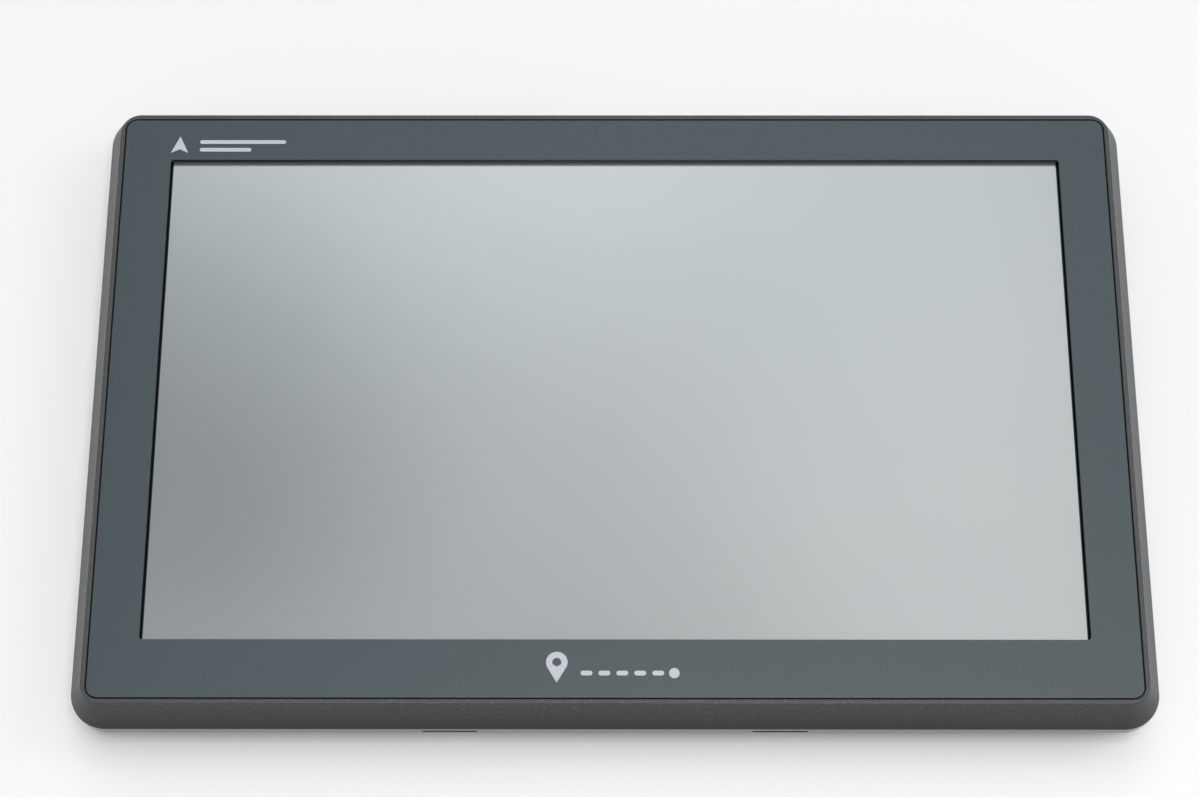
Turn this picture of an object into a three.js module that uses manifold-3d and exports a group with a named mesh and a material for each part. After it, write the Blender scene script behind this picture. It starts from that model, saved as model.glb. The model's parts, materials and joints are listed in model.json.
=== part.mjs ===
/**
 * Portable GPS navigator with a 7 inch touch screen, in millimetres.
 *
 * The navigator lies on its back: +Z points out of the screen, +Y to its top
 * edge and +X to its right. The origin is the middle of the rear face.
 */
import * as THREE from 'three';
import { mergeVertices } from 'three/addons/utils/BufferGeometryUtils.js';
import Module from 'manifold-3d';

const wasm = await Module();
wasm.setup();

// ---------------------------------------------------------------- dimensions

// Outline of the whole housing
const WIDTH = 178;
const HEIGHT = 111.8;
const THICKNESS = 17.5;
const CORNER = 6;

// Front frame: a flat lip, a steep chamfer and a short upright wall
const CHAMFER_RUN = 2.65;
const CHAMFER_DROP = 6.3;
const LIP = 0.7;
const GROOVE = 0.25;
const PLATE_CORNER = 1.9;
const FRAME_WALL = 1.6;
const FRAME_BOTTOM = 9.5;
const LEDGE_TOP = 16.6;
const LEDGE_BOTTOM = 15;
const LEDGE_INSET = 5.8;
const FRAME_BOSS = { radius: 1.7, ribLength: 3.4, ribShift: 2.4, ribFoot: 11.2 };

// Rear cover: a drafted tray with a flange under the front frame
const COVER_WALL = 1.8;
const FLANGE_BOTTOM = 8.3;
const FLANGE_TOP = 9.4;
const FLANGE_INSET = 0.15;
const TONGUE_TOP = 10.8;
const TONGUE_INSET = 1.95;
const TONGUE_THICK = 1.25;
const BODY_INSET = 3.2;
const REAR_INSET = 5;
const SCREW_POST_RADIUS = 3.2;
const HEAD_WELL_RADIUS = 2.5;

// Screen: a 7 inch panel behind a window in the face plate
const SCREEN_Y = 1;
const WINDOW = { width: 154.6, height: 86.6, y: 0.75 };
const PLATE_THICK = 0.8;
const PANEL_WIDTH = 160;
const PANEL_HEIGHT = 95;
const TOUCH_HEIGHT = 93;
const GASKET_BORDER = 2.4;

// Levels inside the housing
const CHASSIS_Z = 9.5;
const CHASSIS_THICK = 0.8;
const TRAY_Z = 10.4;
const BACKLIGHT_Z = 10.9;
const LCD_Z = 13.7;
const TOUCH_Z = 15.1;
const GASKET_Z = 16.35;
const BOARD_Z = 6.4;
const BOARD_THICK = 1.6;
const BOARD = { width: 164, height: 50, y: 18 };

// Fasteners: places [x, y] and shank radii
const REAR_SCREWS = [[-74, 40], [74, 40], [-74, -40], [74, -40], [10, -44], [24, 40.5]];
const CHASSIS_SCREWS = [[-82.9, 24], [82.9, 24], [-82.9, -24], [82.9, -24]];
const BOARD_SCREWS = [[-70, -2], [70, -2], [2, 39.5]];
const REAR_SCREW_RADIUS = 1;
const SMALL_SCREW_RADIUS = 0.7;
const SMALL_HEAD = { radius: 1.4, height: 1.1 };
const REAR_HEAD = { radius: 1.9, height: 1.3 };
const CLEARANCE = 0.3;

// Cradle hook slots in the bottom edge and the latch slot in the top edge
const HOOK_SLOTS = [-27, 27];
const HOOK_SLOT = { width: 9, depth: 2.4, height: 0.6 };
const HOOK_NOTCH = { depth: 1.2, height: 0.7 };
const LATCH_WIDTH = 14;

// Rear face
const SEAT = { width: 64, height: 44, depth: 0.7, x: 0, y: 4 };
const LABEL = { width: 58, height: 24, depth: 0.5, x: -38, y: -33 };
const GRILLE = { x: 40, y: -29, slots: 7, pitch: 2.4, length: 26, width: 1.1 };
const VENTS = { x: -56, y: 30, slots: 6, pitch: 3, length: 13, width: 1.2 };

// Rod antenna, hinged at the right end of a channel along the whole top edge
const ROD = { x: 78, y: 50, z: 4.8, stowed: 90.4, tip: 5 };
const ROD_RADII = [2.4, 1.75, 1.15, 0.55];
const ROD_WALLS = [0.35, 0.3, 0.3];
const ROD_ENDS = [[5.3, 80], [10, 81.2], [11, 83.2], [12, 88]];
const ROD_SOCKET_LENGTH = 3;
const CHANNEL = { floor: 46.6, bottom: 1.5, top: 8.1, wall: 1.2, foot: 0.5, head: 8.6 };
const HINGE_PIN = { radius: 1, length: 6 };
const BRACKET = { half: 3, sheet: 0.6, back: 2.75, cheek: 2.8, end: -9.4, tab: [-9.2, -6.8] };
const TAB_HOLE = { from: 68.4, to: 71.6, bottom: 3.9, top: 5.7 };

// Controls and sockets
const POWER_KEY = { x: -62, z: 4.8, width: 12.2, height: 2.8, top: 47.2 };
const KEY_FLANGE = { width: 14.8, height: 3.8, thick: 1.2 };
const RESET = { x: 58, y: 30 };
const CARD = { y: 15, z: 5.05, length: 15, width: 11, thick: 0.7, outer: -85.6 };
const CARD_SOCKET = { left: -82, length: 14.5, width: 14, thick: 1.8, depth: 12.6 };
const THUMB_CUT = { x: -88.6, radius: 4.6, bottom: 2.9, height: 5.2 };
const POWER_SOCKET = { y: 22, z: 4.35, width: 9.2, height: 3.9, length: 9.9, wall: 0.6 };
const AV_JACK = { y: 4, z: 5.4, width: 6, height: 5.2, length: 12.4, nose: 3, radius: 2.8, bore: 1.8 };
const PORT_FACE = 83.9;
const PORT_CUT = { from: 80, to: 88, halfHeight: 2.25, jackRadius: 3.2 };

// Battery and speaker behind the rear face
const BATTERY = { width: 56, height: 34, thick: 5.3, x: -32, y: -29 };
const BATTERY_TAPE = { width: 50, height: 28, thick: 0.3 };
const SPEAKER = { width: 38, height: 22, hollowWidth: 34, hollowHeight: 18, thick: 2 };

// Fineness of round shapes
const CORNER_STEPS = 5;
const ROUND_SIDES = 20;
const SMALL_SIDES = 12;

// ----------------------------------------------------------------- materials

const FINISHES = {
  frame: { color: 0x3c3c3e, roughness: 0.5, metalness: 0 },
  face: { color: 0x4a5052, roughness: 0.62, metalness: 0 },
  cover: { color: 0x2c2d2f, roughness: 0.6, metalness: 0 },
  foam: { color: 0x101112, roughness: 0.95, metalness: 0 },
  screen: { color: 0x9aa1a5, roughness: 0.25, metalness: 0 },
  liquidCrystal: { color: 0x3d4446, roughness: 0.15, metalness: 0 },
  whitePlastic: { color: 0xe9e9e4, roughness: 0.5, metalness: 0 },
  clearPlastic: { color: 0xdfe6e8, roughness: 0.1, metalness: 0 },
  steel: { color: 0xb4b6b8, roughness: 0.35, metalness: 0.9 },
  board: { color: 0x1e5a3a, roughness: 0.55, metalness: 0 },
  ceramic: { color: 0xd8cdb8, roughness: 0.7, metalness: 0 },
  polyimide: { color: 0xb06a1e, roughness: 0.4, metalness: 0 },
  battery: { color: 0x8d9297, roughness: 0.4, metalness: 0.4 },
  blackPlastic: { color: 0x17181a, roughness: 0.45, metalness: 0 },
  paper: { color: 0x2b2b2a, roughness: 0.9, metalness: 0 },
  screw: { color: 0x1b1b1c, roughness: 0.4, metalness: 0.8 },
  chrome: { color: 0xd5d7da, roughness: 0.12, metalness: 1 },
  label: { color: 0xb9bcbe, roughness: 0.5, metalness: 0.2 },
};

// ------------------------------------------------------------- solid helpers

/** A closed three.js geometry as a solid that can be joined and cut. */
function solid(geometry) {
  const bare = geometry.clone();
  bare.deleteAttribute('normal');
  bare.deleteAttribute('uv');
  const merged = mergeVertices(bare, 1e-4);
  return new wasm.Manifold(new wasm.Mesh({
    numProp: 3,
    vertProperties: Float32Array.from(merged.attributes.position.array),
    triVerts: Uint32Array.from(merged.index.array),
  }));
}

/** The surface of a solid as a three.js geometry. */
function surface(body) {
  const mesh = body.getMesh();
  const geometry = new THREE.BufferGeometry();
  geometry.setAttribute('position', new THREE.BufferAttribute(mesh.vertProperties, 3));
  geometry.setIndex(new THREE.BufferAttribute(mesh.triVerts, 1));
  geometry.computeVertexNormals();
  return geometry;
}

const join = (first, ...others) => others.reduce((body, other) => body.add(other), first);
const cut = (first, ...others) => others.reduce((body, other) => body.subtract(other), first);
const common = (first, second) => first.intersect(second);

/** Points of a rounded rectangle about the origin, anticlockwise. */
function roundedOutline(width, height, radius) {
  const points = [];
  const corners = [[1, 1], [-1, 1], [-1, -1], [1, -1]];
  corners.forEach(([sideX, sideY], corner) => {
    for (let step = 0; step <= CORNER_STEPS; step += 1) {
      const angle = (corner + step / CORNER_STEPS) * Math.PI / 2;
      const x = sideX * (width / 2 - radius) + radius * Math.cos(angle);
      const y = sideY * (height / 2 - radius) + radius * Math.sin(angle);
      points.push(new THREE.Vector2(x, y));
    }
  });
  return points;
}

/** A block with its middle at x, y and its underside at z. */
function box(width, height, thick, x = 0, y = 0, z = 0) {
  const geometry = new THREE.BoxGeometry(width, height, thick);
  return solid(geometry.translate(x, y, z + thick / 2));
}

/** A block between two opposite corners. */
function boxBetween([x0, y0, z0], [x1, y1, z1]) {
  return box(x1 - x0, y1 - y0, z1 - z0, (x0 + x1) / 2, (y0 + y1) / 2, z0);
}

/** A plate with rounded corners, with its middle at x, y and its underside at z. */
function slab(width, height, radius, thick, x = 0, y = 0, z = 0) {
  const shape = new THREE.Shape(roundedOutline(width, height, radius));
  const geometry = new THREE.ExtrudeGeometry(shape, { depth: thick, bevelEnabled: false });
  return solid(geometry.translate(x, y, z));
}

/** An upright cylinder standing at x, y, z. */
function post(radius, height, x = 0, y = 0, z = 0, sides = SMALL_SIDES) {
  const geometry = new THREE.CylinderGeometry(radius, radius, height, sides);
  return solid(geometry.rotateX(Math.PI / 2).translate(x, y, z + height / 2));
}

/** A cylinder lying along X from one x to another. */
function barrel(radius, fromX, toX, y = 0, z = 0, sides = SMALL_SIDES) {
  const geometry = new THREE.CylinderGeometry(radius, radius, toX - fromX, sides);
  return solid(geometry.rotateZ(Math.PI / 2).translate((fromX + toX) / 2, y, z));
}

/**
 * A solid whose outline is a rounded rectangle at every height. Each level is
 * [inset from the housing's outline, height, corner radius].
 */
function tiers(levels) {
  const rings = levels.map(([inset, z, radius]) => (
    roundedOutline(WIDTH - 2 * inset, HEIGHT - 2 * inset, radius)
      .map(({ x, y }) => new THREE.Vector3(x, y, z))
  ));
  const count = rings[0].length;
  const index = [];
  for (let ring = 0; ring < rings.length - 1; ring += 1) {
    for (let point = 0; point < count; point += 1) {
      const next = (point + 1) % count;
      const a = ring * count + point;
      const b = ring * count + next;
      index.push(a, b, b + count, a, b + count, a + count);
    }
  }
  const last = (rings.length - 1) * count;
  const cap = THREE.ShapeUtils.triangulateShape(rings[0], []);
  for (const [a, b, c] of cap) {
    index.push(c, b, a);
    index.push(last + a, last + b, last + c);
  }
  const geometry = new THREE.BufferGeometry().setFromPoints(rings.flat());
  geometry.setIndex(index);
  return solid(geometry);
}

/** A strip of film, width wide along X, that follows points [y, z]. */
function ribbon(route, thick, width, x) {
  const points = route.map(([y, z]) => new THREE.Vector2(y, z));
  const sides = [[], []];
  points.forEach((point, i) => {
    const before = points[Math.max(i - 1, 0)];
    const after = points[Math.min(i + 1, points.length - 1)];
    const along = after.clone().sub(before).normalize();
    const across = new THREE.Vector2(-along.y, along.x).multiplyScalar(thick / 2);
    sides[0].push(point.clone().add(across));
    sides[1].unshift(point.clone().sub(across));
  });
  const shape = new THREE.Shape(sides.flat());
  const geometry = new THREE.ExtrudeGeometry(shape, { depth: width, bevelEnabled: false });
  const turn = new THREE.Matrix4().makeBasis(
    new THREE.Vector3(0, 1, 0),
    new THREE.Vector3(0, 0, 1),
    new THREE.Vector3(1, 0, 0),
  );
  return solid(geometry.applyMatrix4(turn).translate(x - width / 2, 0, 0));
}

/** A round lead that follows points [x, y, z]. */
function lead(points, radius) {
  const curve = new THREE.CatmullRomCurve3(points.map((p) => new THREE.Vector3(...p)));
  const section = new THREE.Shape().absarc(0, 0, radius, 0, 2 * Math.PI);
  return solid(new THREE.ExtrudeGeometry(section, {
    steps: 6 * (points.length - 1), curveSegments: 4, extrudePath: curve, bevelEnabled: false,
  }));
}

// ------------------------------------------------------------ scene assembly

const navigator = new THREE.Group();

function group(parent, x, y, z) {
  const child = new THREE.Group();
  child.position.set(x, y, z);
  parent.add(child);
  return child;
}

function add(parent, name, finish, body, x = 0, y = 0, z = 0) {
  const material = new THREE.MeshStandardMaterial(FINISHES[finish]);
  const mesh = new THREE.Mesh(surface(body), material);
  mesh.name = name;
  mesh.position.set(x, y, z);
  parent.add(mesh);
}

// ------------------------------------------------------------------- housing

/** Chamfered ring with a ledge for the face plate, four screw bosses and two hook notches. */
function frontFrame() {
  const groove = CHAMFER_RUN + LIP;
  const chamferFoot = THICKNESS - CHAMFER_DROP;
  const slope = CHAMFER_RUN / CHAMFER_DROP;
  const innerFoot = FRAME_WALL * Math.hypot(1, slope);
  const innerTop = innerFoot + (LEDGE_BOTTOM - chamferFoot) * slope;
  const outer = tiers([
    [0, FRAME_BOTTOM, CORNER],
    [0, chamferFoot, CORNER],
    [CHAMFER_RUN, THICKNESS, CORNER - CHAMFER_RUN],
  ]);
  const hollow = tiers([
    [FRAME_WALL, FRAME_BOTTOM - 1, CORNER - FRAME_WALL],
    [FRAME_WALL, chamferFoot, CORNER - FRAME_WALL],
    [innerTop, LEDGE_BOTTOM, CORNER - innerTop],
  ]);
  const throat = tiers([[LEDGE_INSET, FRAME_BOTTOM, 1], [LEDGE_INSET, THICKNESS, 1]]);
  const seat = tiers([
    [groove, LEDGE_TOP, PLATE_CORNER + GROOVE],
    [groove, THICKNESS + 1, PLATE_CORNER + GROOVE],
  ]);
  const notches = HOOK_SLOTS.map((x) => (
    boxBetween(
      [x - HOOK_SLOT.width / 2, -HEIGHT / 2 - 1, FRAME_BOTTOM - 1],
      [x + HOOK_SLOT.width / 2, -HEIGHT / 2 + HOOK_NOTCH.depth, FRAME_BOTTOM + HOOK_NOTCH.height],
    )
  ));
  const ring = cut(outer, hollow, throat, seat, ...notches);
  const bossFoot = CHASSIS_Z + CHASSIS_THICK + 0.1;
  const bosses = CHASSIS_SCREWS.map(([x, y]) => {
    const { radius, ribLength, ribShift, ribFoot } = FRAME_BOSS;
    const ribX = x + Math.sign(x) * ribShift;
    const rib = box(ribLength, 1, LEDGE_BOTTOM - ribFoot, ribX, y, ribFoot);
    return join(post(radius, LEDGE_BOTTOM + 0.2 - bossFoot, x, y, bossFoot), rib);
  });
  const holes = CHASSIS_SCREWS.map(([x, y]) => (
    post(SMALL_SCREW_RADIUS + CLEARANCE, 3.4, x, y, bossFoot - 0.4)
  ));
  return cut(join(ring, ...bosses), ...holes);
}

/** Decorative plate round the screen, set into the front frame. */
function facePlate() {
  const inset = CHAMFER_RUN + LIP + GROOVE;
  const top = THICKNESS;
  const body = tiers([
    [inset, top - PLATE_THICK, PLATE_CORNER],
    [inset, top, PLATE_CORNER],
  ]);
  const { width, height, y } = WINDOW;
  return cut(body, slab(width, height, 0.5, PLATE_THICK + 2, 0, y, top - PLATE_THICK - 1));
}

/** Solid walls of the antenna channel, before the channel is cut. */
function channelBlock(outer) {
  const { floor, wall, foot, head } = CHANNEL;
  const walls = boxBetween([-WIDTH / 2, floor - wall, foot], [WIDTH / 2, HEIGHT / 2, head]);
  return common(walls, outer);
}

/** Everything that is cut out of the rear cover's side walls. */
function coverWallCuts() {
  const edge = -HEIGHT / 2 + HOOK_SLOT.depth;
  const hooks = HOOK_SLOTS.map((x) => (
    boxBetween(
      [x - HOOK_SLOT.width / 2, -HEIGHT / 2 - 1, FLANGE_TOP - HOOK_SLOT.height],
      [x + HOOK_SLOT.width / 2, edge, FLANGE_TOP + 0.02],
    )
  ));
  const latch = boxBetween(
    [-LATCH_WIDTH / 2, -edge, FLANGE_TOP - HOOK_SLOT.height],
    [LATCH_WIDTH / 2, HEIGHT / 2 + 1, FLANGE_TOP + 0.02],
  );
  const { floor, bottom, top, wall } = CHANNEL;
  const channel = boxBetween(
    [-WIDTH / 2 - 1, floor, bottom],
    [WIDTH / 2 + 1, HEIGHT / 2 + 1, top],
  );
  const tabHole = boxBetween(
    [TAB_HOLE.from, floor - 2, TAB_HOLE.bottom],
    [TAB_HOLE.to, floor + 1, TAB_HOLE.top],
  );
  const key = box(
    POWER_KEY.width + 2 * CLEARANCE, 2 * wall + 1, POWER_KEY.height + 2 * CLEARANCE,
    POWER_KEY.x, floor, POWER_KEY.z - POWER_KEY.height / 2 - CLEARANCE,
  );
  const { from, to, halfHeight, jackRadius } = PORT_CUT;
  const card = boxBetween(
    [-to, CARD.y - CARD.width / 2 - CLEARANCE, CARD.z - CLEARANCE],
    [-from, CARD.y + CARD.width / 2 + CLEARANCE, CARD.z + CARD.thick + CLEARANCE],
  );
  const thumb = post(
    THUMB_CUT.radius, THUMB_CUT.height, THUMB_CUT.x, CARD.y, THUMB_CUT.bottom, ROUND_SIDES,
  );
  const power = boxBetween(
    [from, POWER_SOCKET.y - POWER_SOCKET.width / 2 - CLEARANCE, POWER_SOCKET.z - halfHeight],
    [to, POWER_SOCKET.y + POWER_SOCKET.width / 2 + CLEARANCE, POWER_SOCKET.z + halfHeight],
  );
  const jack = barrel(jackRadius, from, to, AV_JACK.y, AV_JACK.z, ROUND_SIDES);
  const heads = CHASSIS_SCREWS.map(([x, y]) => post(1.75, 2, x, y, 7.6));
  return [...hooks, latch, channel, tabHole, key, card, thumb, power, jack, ...heads];
}

/** A row of rounded slots through the rear face. */
function slotRow({ x, y, slots, pitch, length, width }, upright) {
  return Array.from({ length: slots }, (_, i) => {
    const shift = (i - (slots - 1) / 2) * pitch;
    return upright
      ? slab(width, length, width / 2 - 0.01, 3, x + shift, y, -0.5)
      : slab(length, width, width / 2 - 0.01, 3, x, y + shift, -0.5);
  });
}

/** Everything that is cut out of the rear cover's rear face. */
function coverFaceCuts() {
  const seat = slab(SEAT.width, SEAT.height, 5, SEAT.depth + 1, SEAT.x, SEAT.y, -1);
  const label = slab(LABEL.width, LABEL.height, 2, LABEL.depth + 1, LABEL.x, LABEL.y, -1);
  const reset = post(1.3, 4, RESET.x, RESET.y, -1);
  const screwHoles = REAR_SCREWS.flatMap(([x, y]) => [
    post(HEAD_WELL_RADIUS, 3, x, y, -1, ROUND_SIDES),
    post(REAR_SCREW_RADIUS + CLEARANCE, 12, x, y, -1),
  ]);
  return [seat, label, reset, ...slotRow(GRILLE, false), ...slotRow(VENTS, true), ...screwHoles];
}

/** Drafted rear tray with its flange, tongue, screw posts and antenna channel. */
function rearCover() {
  const tongueInner = TONGUE_INSET + TONGUE_THICK;
  const outer = tiers([
    [7, 0, 5],
    [5.6, 0.9, 6],
    [REAR_INSET, 2, 6.5],
    [BODY_INSET, FLANGE_BOTTOM, 7],
    [FLANGE_INSET, FLANGE_BOTTOM, CORNER - FLANGE_INSET],
    [FLANGE_INSET, FLANGE_TOP, CORNER - FLANGE_INSET],
    [TONGUE_INSET, FLANGE_TOP, CORNER - TONGUE_INSET],
    [TONGUE_INSET, TONGUE_TOP, CORNER - TONGUE_INSET],
  ]);
  const hollow = tiers([
    [7.4, COVER_WALL, 5],
    [REAR_INSET + 1.9, 2.4, 5.5],
    [BODY_INSET + 1.9, FLANGE_BOTTOM - 0.3, 5.5],
    [BODY_INSET + 1.9, FLANGE_TOP, 5.5],
    [tongueInner, FLANGE_TOP, CORNER - tongueInner],
    [tongueInner, TONGUE_TOP + 1, CORNER - tongueInner],
  ]);
  const posts = REAR_SCREWS.map(([x, y]) => (
    post(SCREW_POST_RADIUS, FLANGE_TOP - 1, x, y, 1, ROUND_SIDES)
  ));
  const shell = join(cut(outer, hollow), channelBlock(outer), ...posts);
  return cut(shell, ...coverWallCuts(), ...coverFaceCuts());
}

add(navigator, 'front_frame', 'frame', frontFrame());
add(navigator, 'face_plate', 'face', facePlate());
add(navigator, 'rear_cover', 'cover', rearCover());
add(
  navigator, 'rating_label', 'label',
  slab(LABEL.width - 0.8, LABEL.height - 0.8, 1.6, 0.25), LABEL.x, LABEL.y, 0.15,
);

// -------------------------------------------------------------------- screen

/** A flat rectangular ring. */
function flatRing(width, height, thick, border) {
  return cut(
    slab(width, height, 1, thick),
    slab(width - 2 * border, height - 2 * border, 0.5, thick + 2, 0, 0, -1),
  );
}

/** Thin folded tray under the liquid crystal module. */
function lcdTray() {
  const sheet = 0.4;
  const width = PANEL_WIDTH + 1.4;
  const height = PANEL_HEIGHT + 1.4;
  const inner = slab(width - 2 * sheet, height - 2 * sheet, 0.6, 4, 0, 0, sheet);
  return cut(slab(width, height, 1, 3.1), inner);
}

/** Foam ring that fills the gap between the face plate and the touch panel. */
function bezelGasket() {
  const spread = 2 * (CLEARANCE + GASKET_BORDER);
  return flatRing(WINDOW.width + spread, WINDOW.height + spread, 0.3, GASKET_BORDER);
}

const screen = group(navigator, 0, SCREEN_Y, 0);
add(screen, 'bezel_gasket', 'foam', bezelGasket(), 0, WINDOW.y - SCREEN_Y, GASKET_Z);
add(screen, 'touch_panel', 'screen', slab(PANEL_WIDTH, TOUCH_HEIGHT, 0.8, 1.2), 0, 0, TOUCH_Z);
add(
  screen, 'lcd_panel', 'liquidCrystal',
  slab(PANEL_WIDTH - 1, PANEL_HEIGHT - 1, 0.6, 1.2), 0, 0, LCD_Z,
);
add(
  screen, 'backlight_frame', 'whitePlastic',
  flatRing(PANEL_WIDTH, PANEL_HEIGHT, LCD_Z - BACKLIGHT_Z - 0.1, 2.5), 0, 0, BACKLIGHT_Z,
);
add(
  screen, 'light_guide', 'clearPlastic',
  slab(PANEL_WIDTH - 6, PANEL_HEIGHT - 9, 0.6, 2.3), 0, 1.4, BACKLIGHT_Z + 0.1,
);
add(
  screen, 'led_strip', 'whitePlastic',
  box(PANEL_WIDTH - 8, 1.6, 1.6), 0, -PANEL_HEIGHT / 2 + 3.9, BACKLIGHT_Z + 0.1,
);
add(screen, 'lcd_tray', 'steel', lcdTray(), 0, 0, TRAY_Z);

// ------------------------------------------------------------ inner structure

/** Metal plate between the screen and the board, with windows and standoffs. */
function midChassis() {
  const inset = TONGUE_INSET + TONGUE_THICK + CLEARANCE;
  const plate = tiers([
    [inset, CHASSIS_Z, 2.5],
    [inset, CHASSIS_Z + CHASSIS_THICK, 2.5],
  ]);
  const standoffFoot = BOARD_Z + BOARD_THICK + 0.1;
  const standoffs = BOARD_SCREWS.map(([x, y]) => (
    post(2.2, CHASSIS_Z + 0.4 - standoffFoot, x, y, standoffFoot)
  ));
  const windows = [-44, 0, 44].map((x) => slab(x === 0 ? 36 : 40, 56, 4, 3, x, 0, CHASSIS_Z - 1));
  const flexNotch = boxBetween([-41, -54, CHASSIS_Z - 1], [3, -47.6, CHASSIS_Z + 2]);
  const screws = [
    ...REAR_SCREWS.map(([x, y]) => [x, y, REAR_SCREW_RADIUS]),
    ...CHASSIS_SCREWS.map(([x, y]) => [x, y, SMALL_SCREW_RADIUS]),
    ...BOARD_SCREWS.map(([x, y]) => [x, y, SMALL_SCREW_RADIUS]),
  ];
  const holes = screws.map(([x, y, radius]) => (
    post(radius + CLEARANCE, 5, x, y, standoffFoot - 0.5)
  ));
  return cut(join(plate, ...standoffs), ...windows, flexNotch, ...holes);
}

/** Circuit board with notches for the screw posts and the jack. */
function mainBoard() {
  const board = slab(BOARD.width, BOARD.height, 1.5, BOARD_THICK, 0, BOARD.y, BOARD_Z);
  const postNotches = REAR_SCREWS.filter(([, y]) => y > 0).map(([x, y]) => (
    box(8, 12, 4, x, y + 2, BOARD_Z - 1)
  ));
  const jackNotch = boxBetween(
    [PORT_FACE - AV_JACK.length - 0.7, AV_JACK.y - 3.4, BOARD_Z - 1],
    [PORT_FACE + 0.1, AV_JACK.y + 3.4, BOARD_Z + 3],
  );
  const holes = BOARD_SCREWS.map(([x, y]) => (
    post(SMALL_SCREW_RADIUS + CLEARANCE, 4, x, y, BOARD_Z - 1)
  ));
  return cut(board, ...postNotches, jackNotch, ...holes);
}

/** Thin cover with a raised middle, open towards the board. */
function shieldCan(width, height, thick) {
  const sheet = 0.3;
  const shell = slab(width, height, 1, thick);
  const hollow = slab(width - 2 * sheet, height - 2 * sheet, 0.8, thick, 0, 0, sheet);
  return cut(shell, hollow);
}

// Routes of the two screen tails round the chassis edge, as points [y, z]
const LCD_TAIL = [
  [-46.7, 14.3], [-48.8, 14.3], [-49.4, 13.7], [-49.4, 9.2], [-48.9, 8.7], [-8.2, 8.7],
];
const TOUCH_TAIL = [
  [-45.7, 15.7], [-47.9, 15.7], [-48.5, 15.1], [-48.5, 9.4], [-48, 8.9], [-4, 8.9],
];

add(navigator, 'mid_chassis', 'steel', midChassis());
add(navigator, 'lcd_flex', 'polyimide', ribbon(LCD_TAIL, 0.2, 30, -24));
add(navigator, 'touch_flex', 'polyimide', ribbon(TOUCH_TAIL, 0.2, 6, -2));
add(navigator, 'main_board', 'board', mainBoard());
add(
  navigator, 'lcd_connector', 'blackPlastic', box(34, 4.5, 1.1),
  -24, -5.6, BOARD_Z + BOARD_THICK + 0.1,
);

const underBoard = group(navigator, 0, 0, BOARD_Z - 0.1);
add(underBoard, 'processor_shield', 'steel', shieldCan(36, 36, 2.4), 2, 18, -2.4);
add(underBoard, 'radio_shield', 'steel', shieldCan(18, 16, 2), -37, 6, -2);
add(underBoard, 'gps_patch_antenna', 'ceramic', slab(20, 20, 0.6, 3.8), -36, 29, -3.8);
add(underBoard, 'tv_tuner_module', 'steel', slab(20, 24, 0.8, 2.8), 39, 25, -2.8);
add(underBoard, 'clock_cell', 'steel', post(3.4, 2.1, 0, 0, 0, ROUND_SIDES), 58, 14, -2.1);
add(underBoard, 'battery_connector', 'whitePlastic', box(8, 4, 2.6), -30, -4, -2.6);

// ---------------------------------------------------------- battery and sound

add(
  navigator, 'battery_tape', 'foam',
  slab(BATTERY_TAPE.width, BATTERY_TAPE.height, 1, BATTERY_TAPE.thick),
  BATTERY.x, BATTERY.y, COVER_WALL + 0.1,
);
add(
  navigator, 'battery_pack', 'battery',
  slab(BATTERY.width, BATTERY.height, 1.6, BATTERY.thick), BATTERY.x, BATTERY.y, COVER_WALL + 0.5,
);
add(
  navigator, 'battery_lead', 'blackPlastic',
  lead([[-33, -11.7, 5], [-33, -10, 5], [-30, -8, 5], [-30, -6.3, 5]], 0.9),
);

/** An oval plate, nearly as round at its ends as it is high. */
function oval(width, height, thick, z = 0) {
  return slab(width, height, height / 2 - 0.1, thick, 0, 0, z);
}

/** Basket with an oval hollow that opens to the rear. */
function speakerFrame() {
  const { width, height, hollowWidth, hollowHeight, thick } = SPEAKER;
  return cut(oval(width, height, thick), oval(hollowWidth, hollowHeight, 1.6, -0.2));
}

/** Foam ring between the speaker and the rear cover. */
function speakerGasket() {
  const { width, height, hollowWidth, hollowHeight } = SPEAKER;
  return cut(oval(width, height, 0.8), oval(hollowWidth + 0.4, hollowHeight + 0.4, 2, -0.5));
}

/** Shallow cone with a raised roll and a centre dome. */
function speakerCone() {
  const roll = oval(SPEAKER.hollowWidth - 0.8, SPEAKER.hollowHeight - 0.8, 0.4, 0.4);
  const dish = oval(27, 12, 0.5, 0.05);
  const ball = new THREE.SphereGeometry(4, ROUND_SIDES, 8);
  const dome = solid(ball.scale(1, 1, 0.16).translate(0, 0, 0.15));
  return join(roll, dish, common(dome, box(12, 12, 0.6, 0, 0, -0.5)));
}

const sound = group(navigator, GRILLE.x, GRILLE.y, COVER_WALL);
add(sound, 'grille_mesh', 'foam', oval(34, 20, 0.2), 0, 0, 0.1);
add(sound, 'speaker_gasket', 'foam', speakerGasket(), 0, 0, 0.4);
add(sound, 'speaker_frame', 'blackPlastic', speakerFrame(), 0, 0, 1.3);
add(sound, 'speaker_cone', 'paper', speakerCone(), 0, 0, 1.7);
add(sound, 'speaker_magnet', 'steel', post(8, 2.4, 0, 0, 0, ROUND_SIDES), 0, 0, 3.4);

// ------------------------------------------------------- controls and sockets

/** Key cap that stands out of the channel's floor, with a retaining flange inside. */
function powerKey() {
  const { width, height, top } = POWER_KEY;
  const flangeTop = CHANNEL.floor - CHANNEL.wall - CLEARANCE;
  const cap = boxBetween([-width / 2, flangeTop - 0.1, -height / 2], [width / 2, top, height / 2]);
  const flange = boxBetween(
    [-KEY_FLANGE.width / 2, flangeTop - KEY_FLANGE.thick, -KEY_FLANGE.height / 2],
    [KEY_FLANGE.width / 2, flangeTop, KEY_FLANGE.height / 2],
  );
  return join(cap, flange);
}

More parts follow.
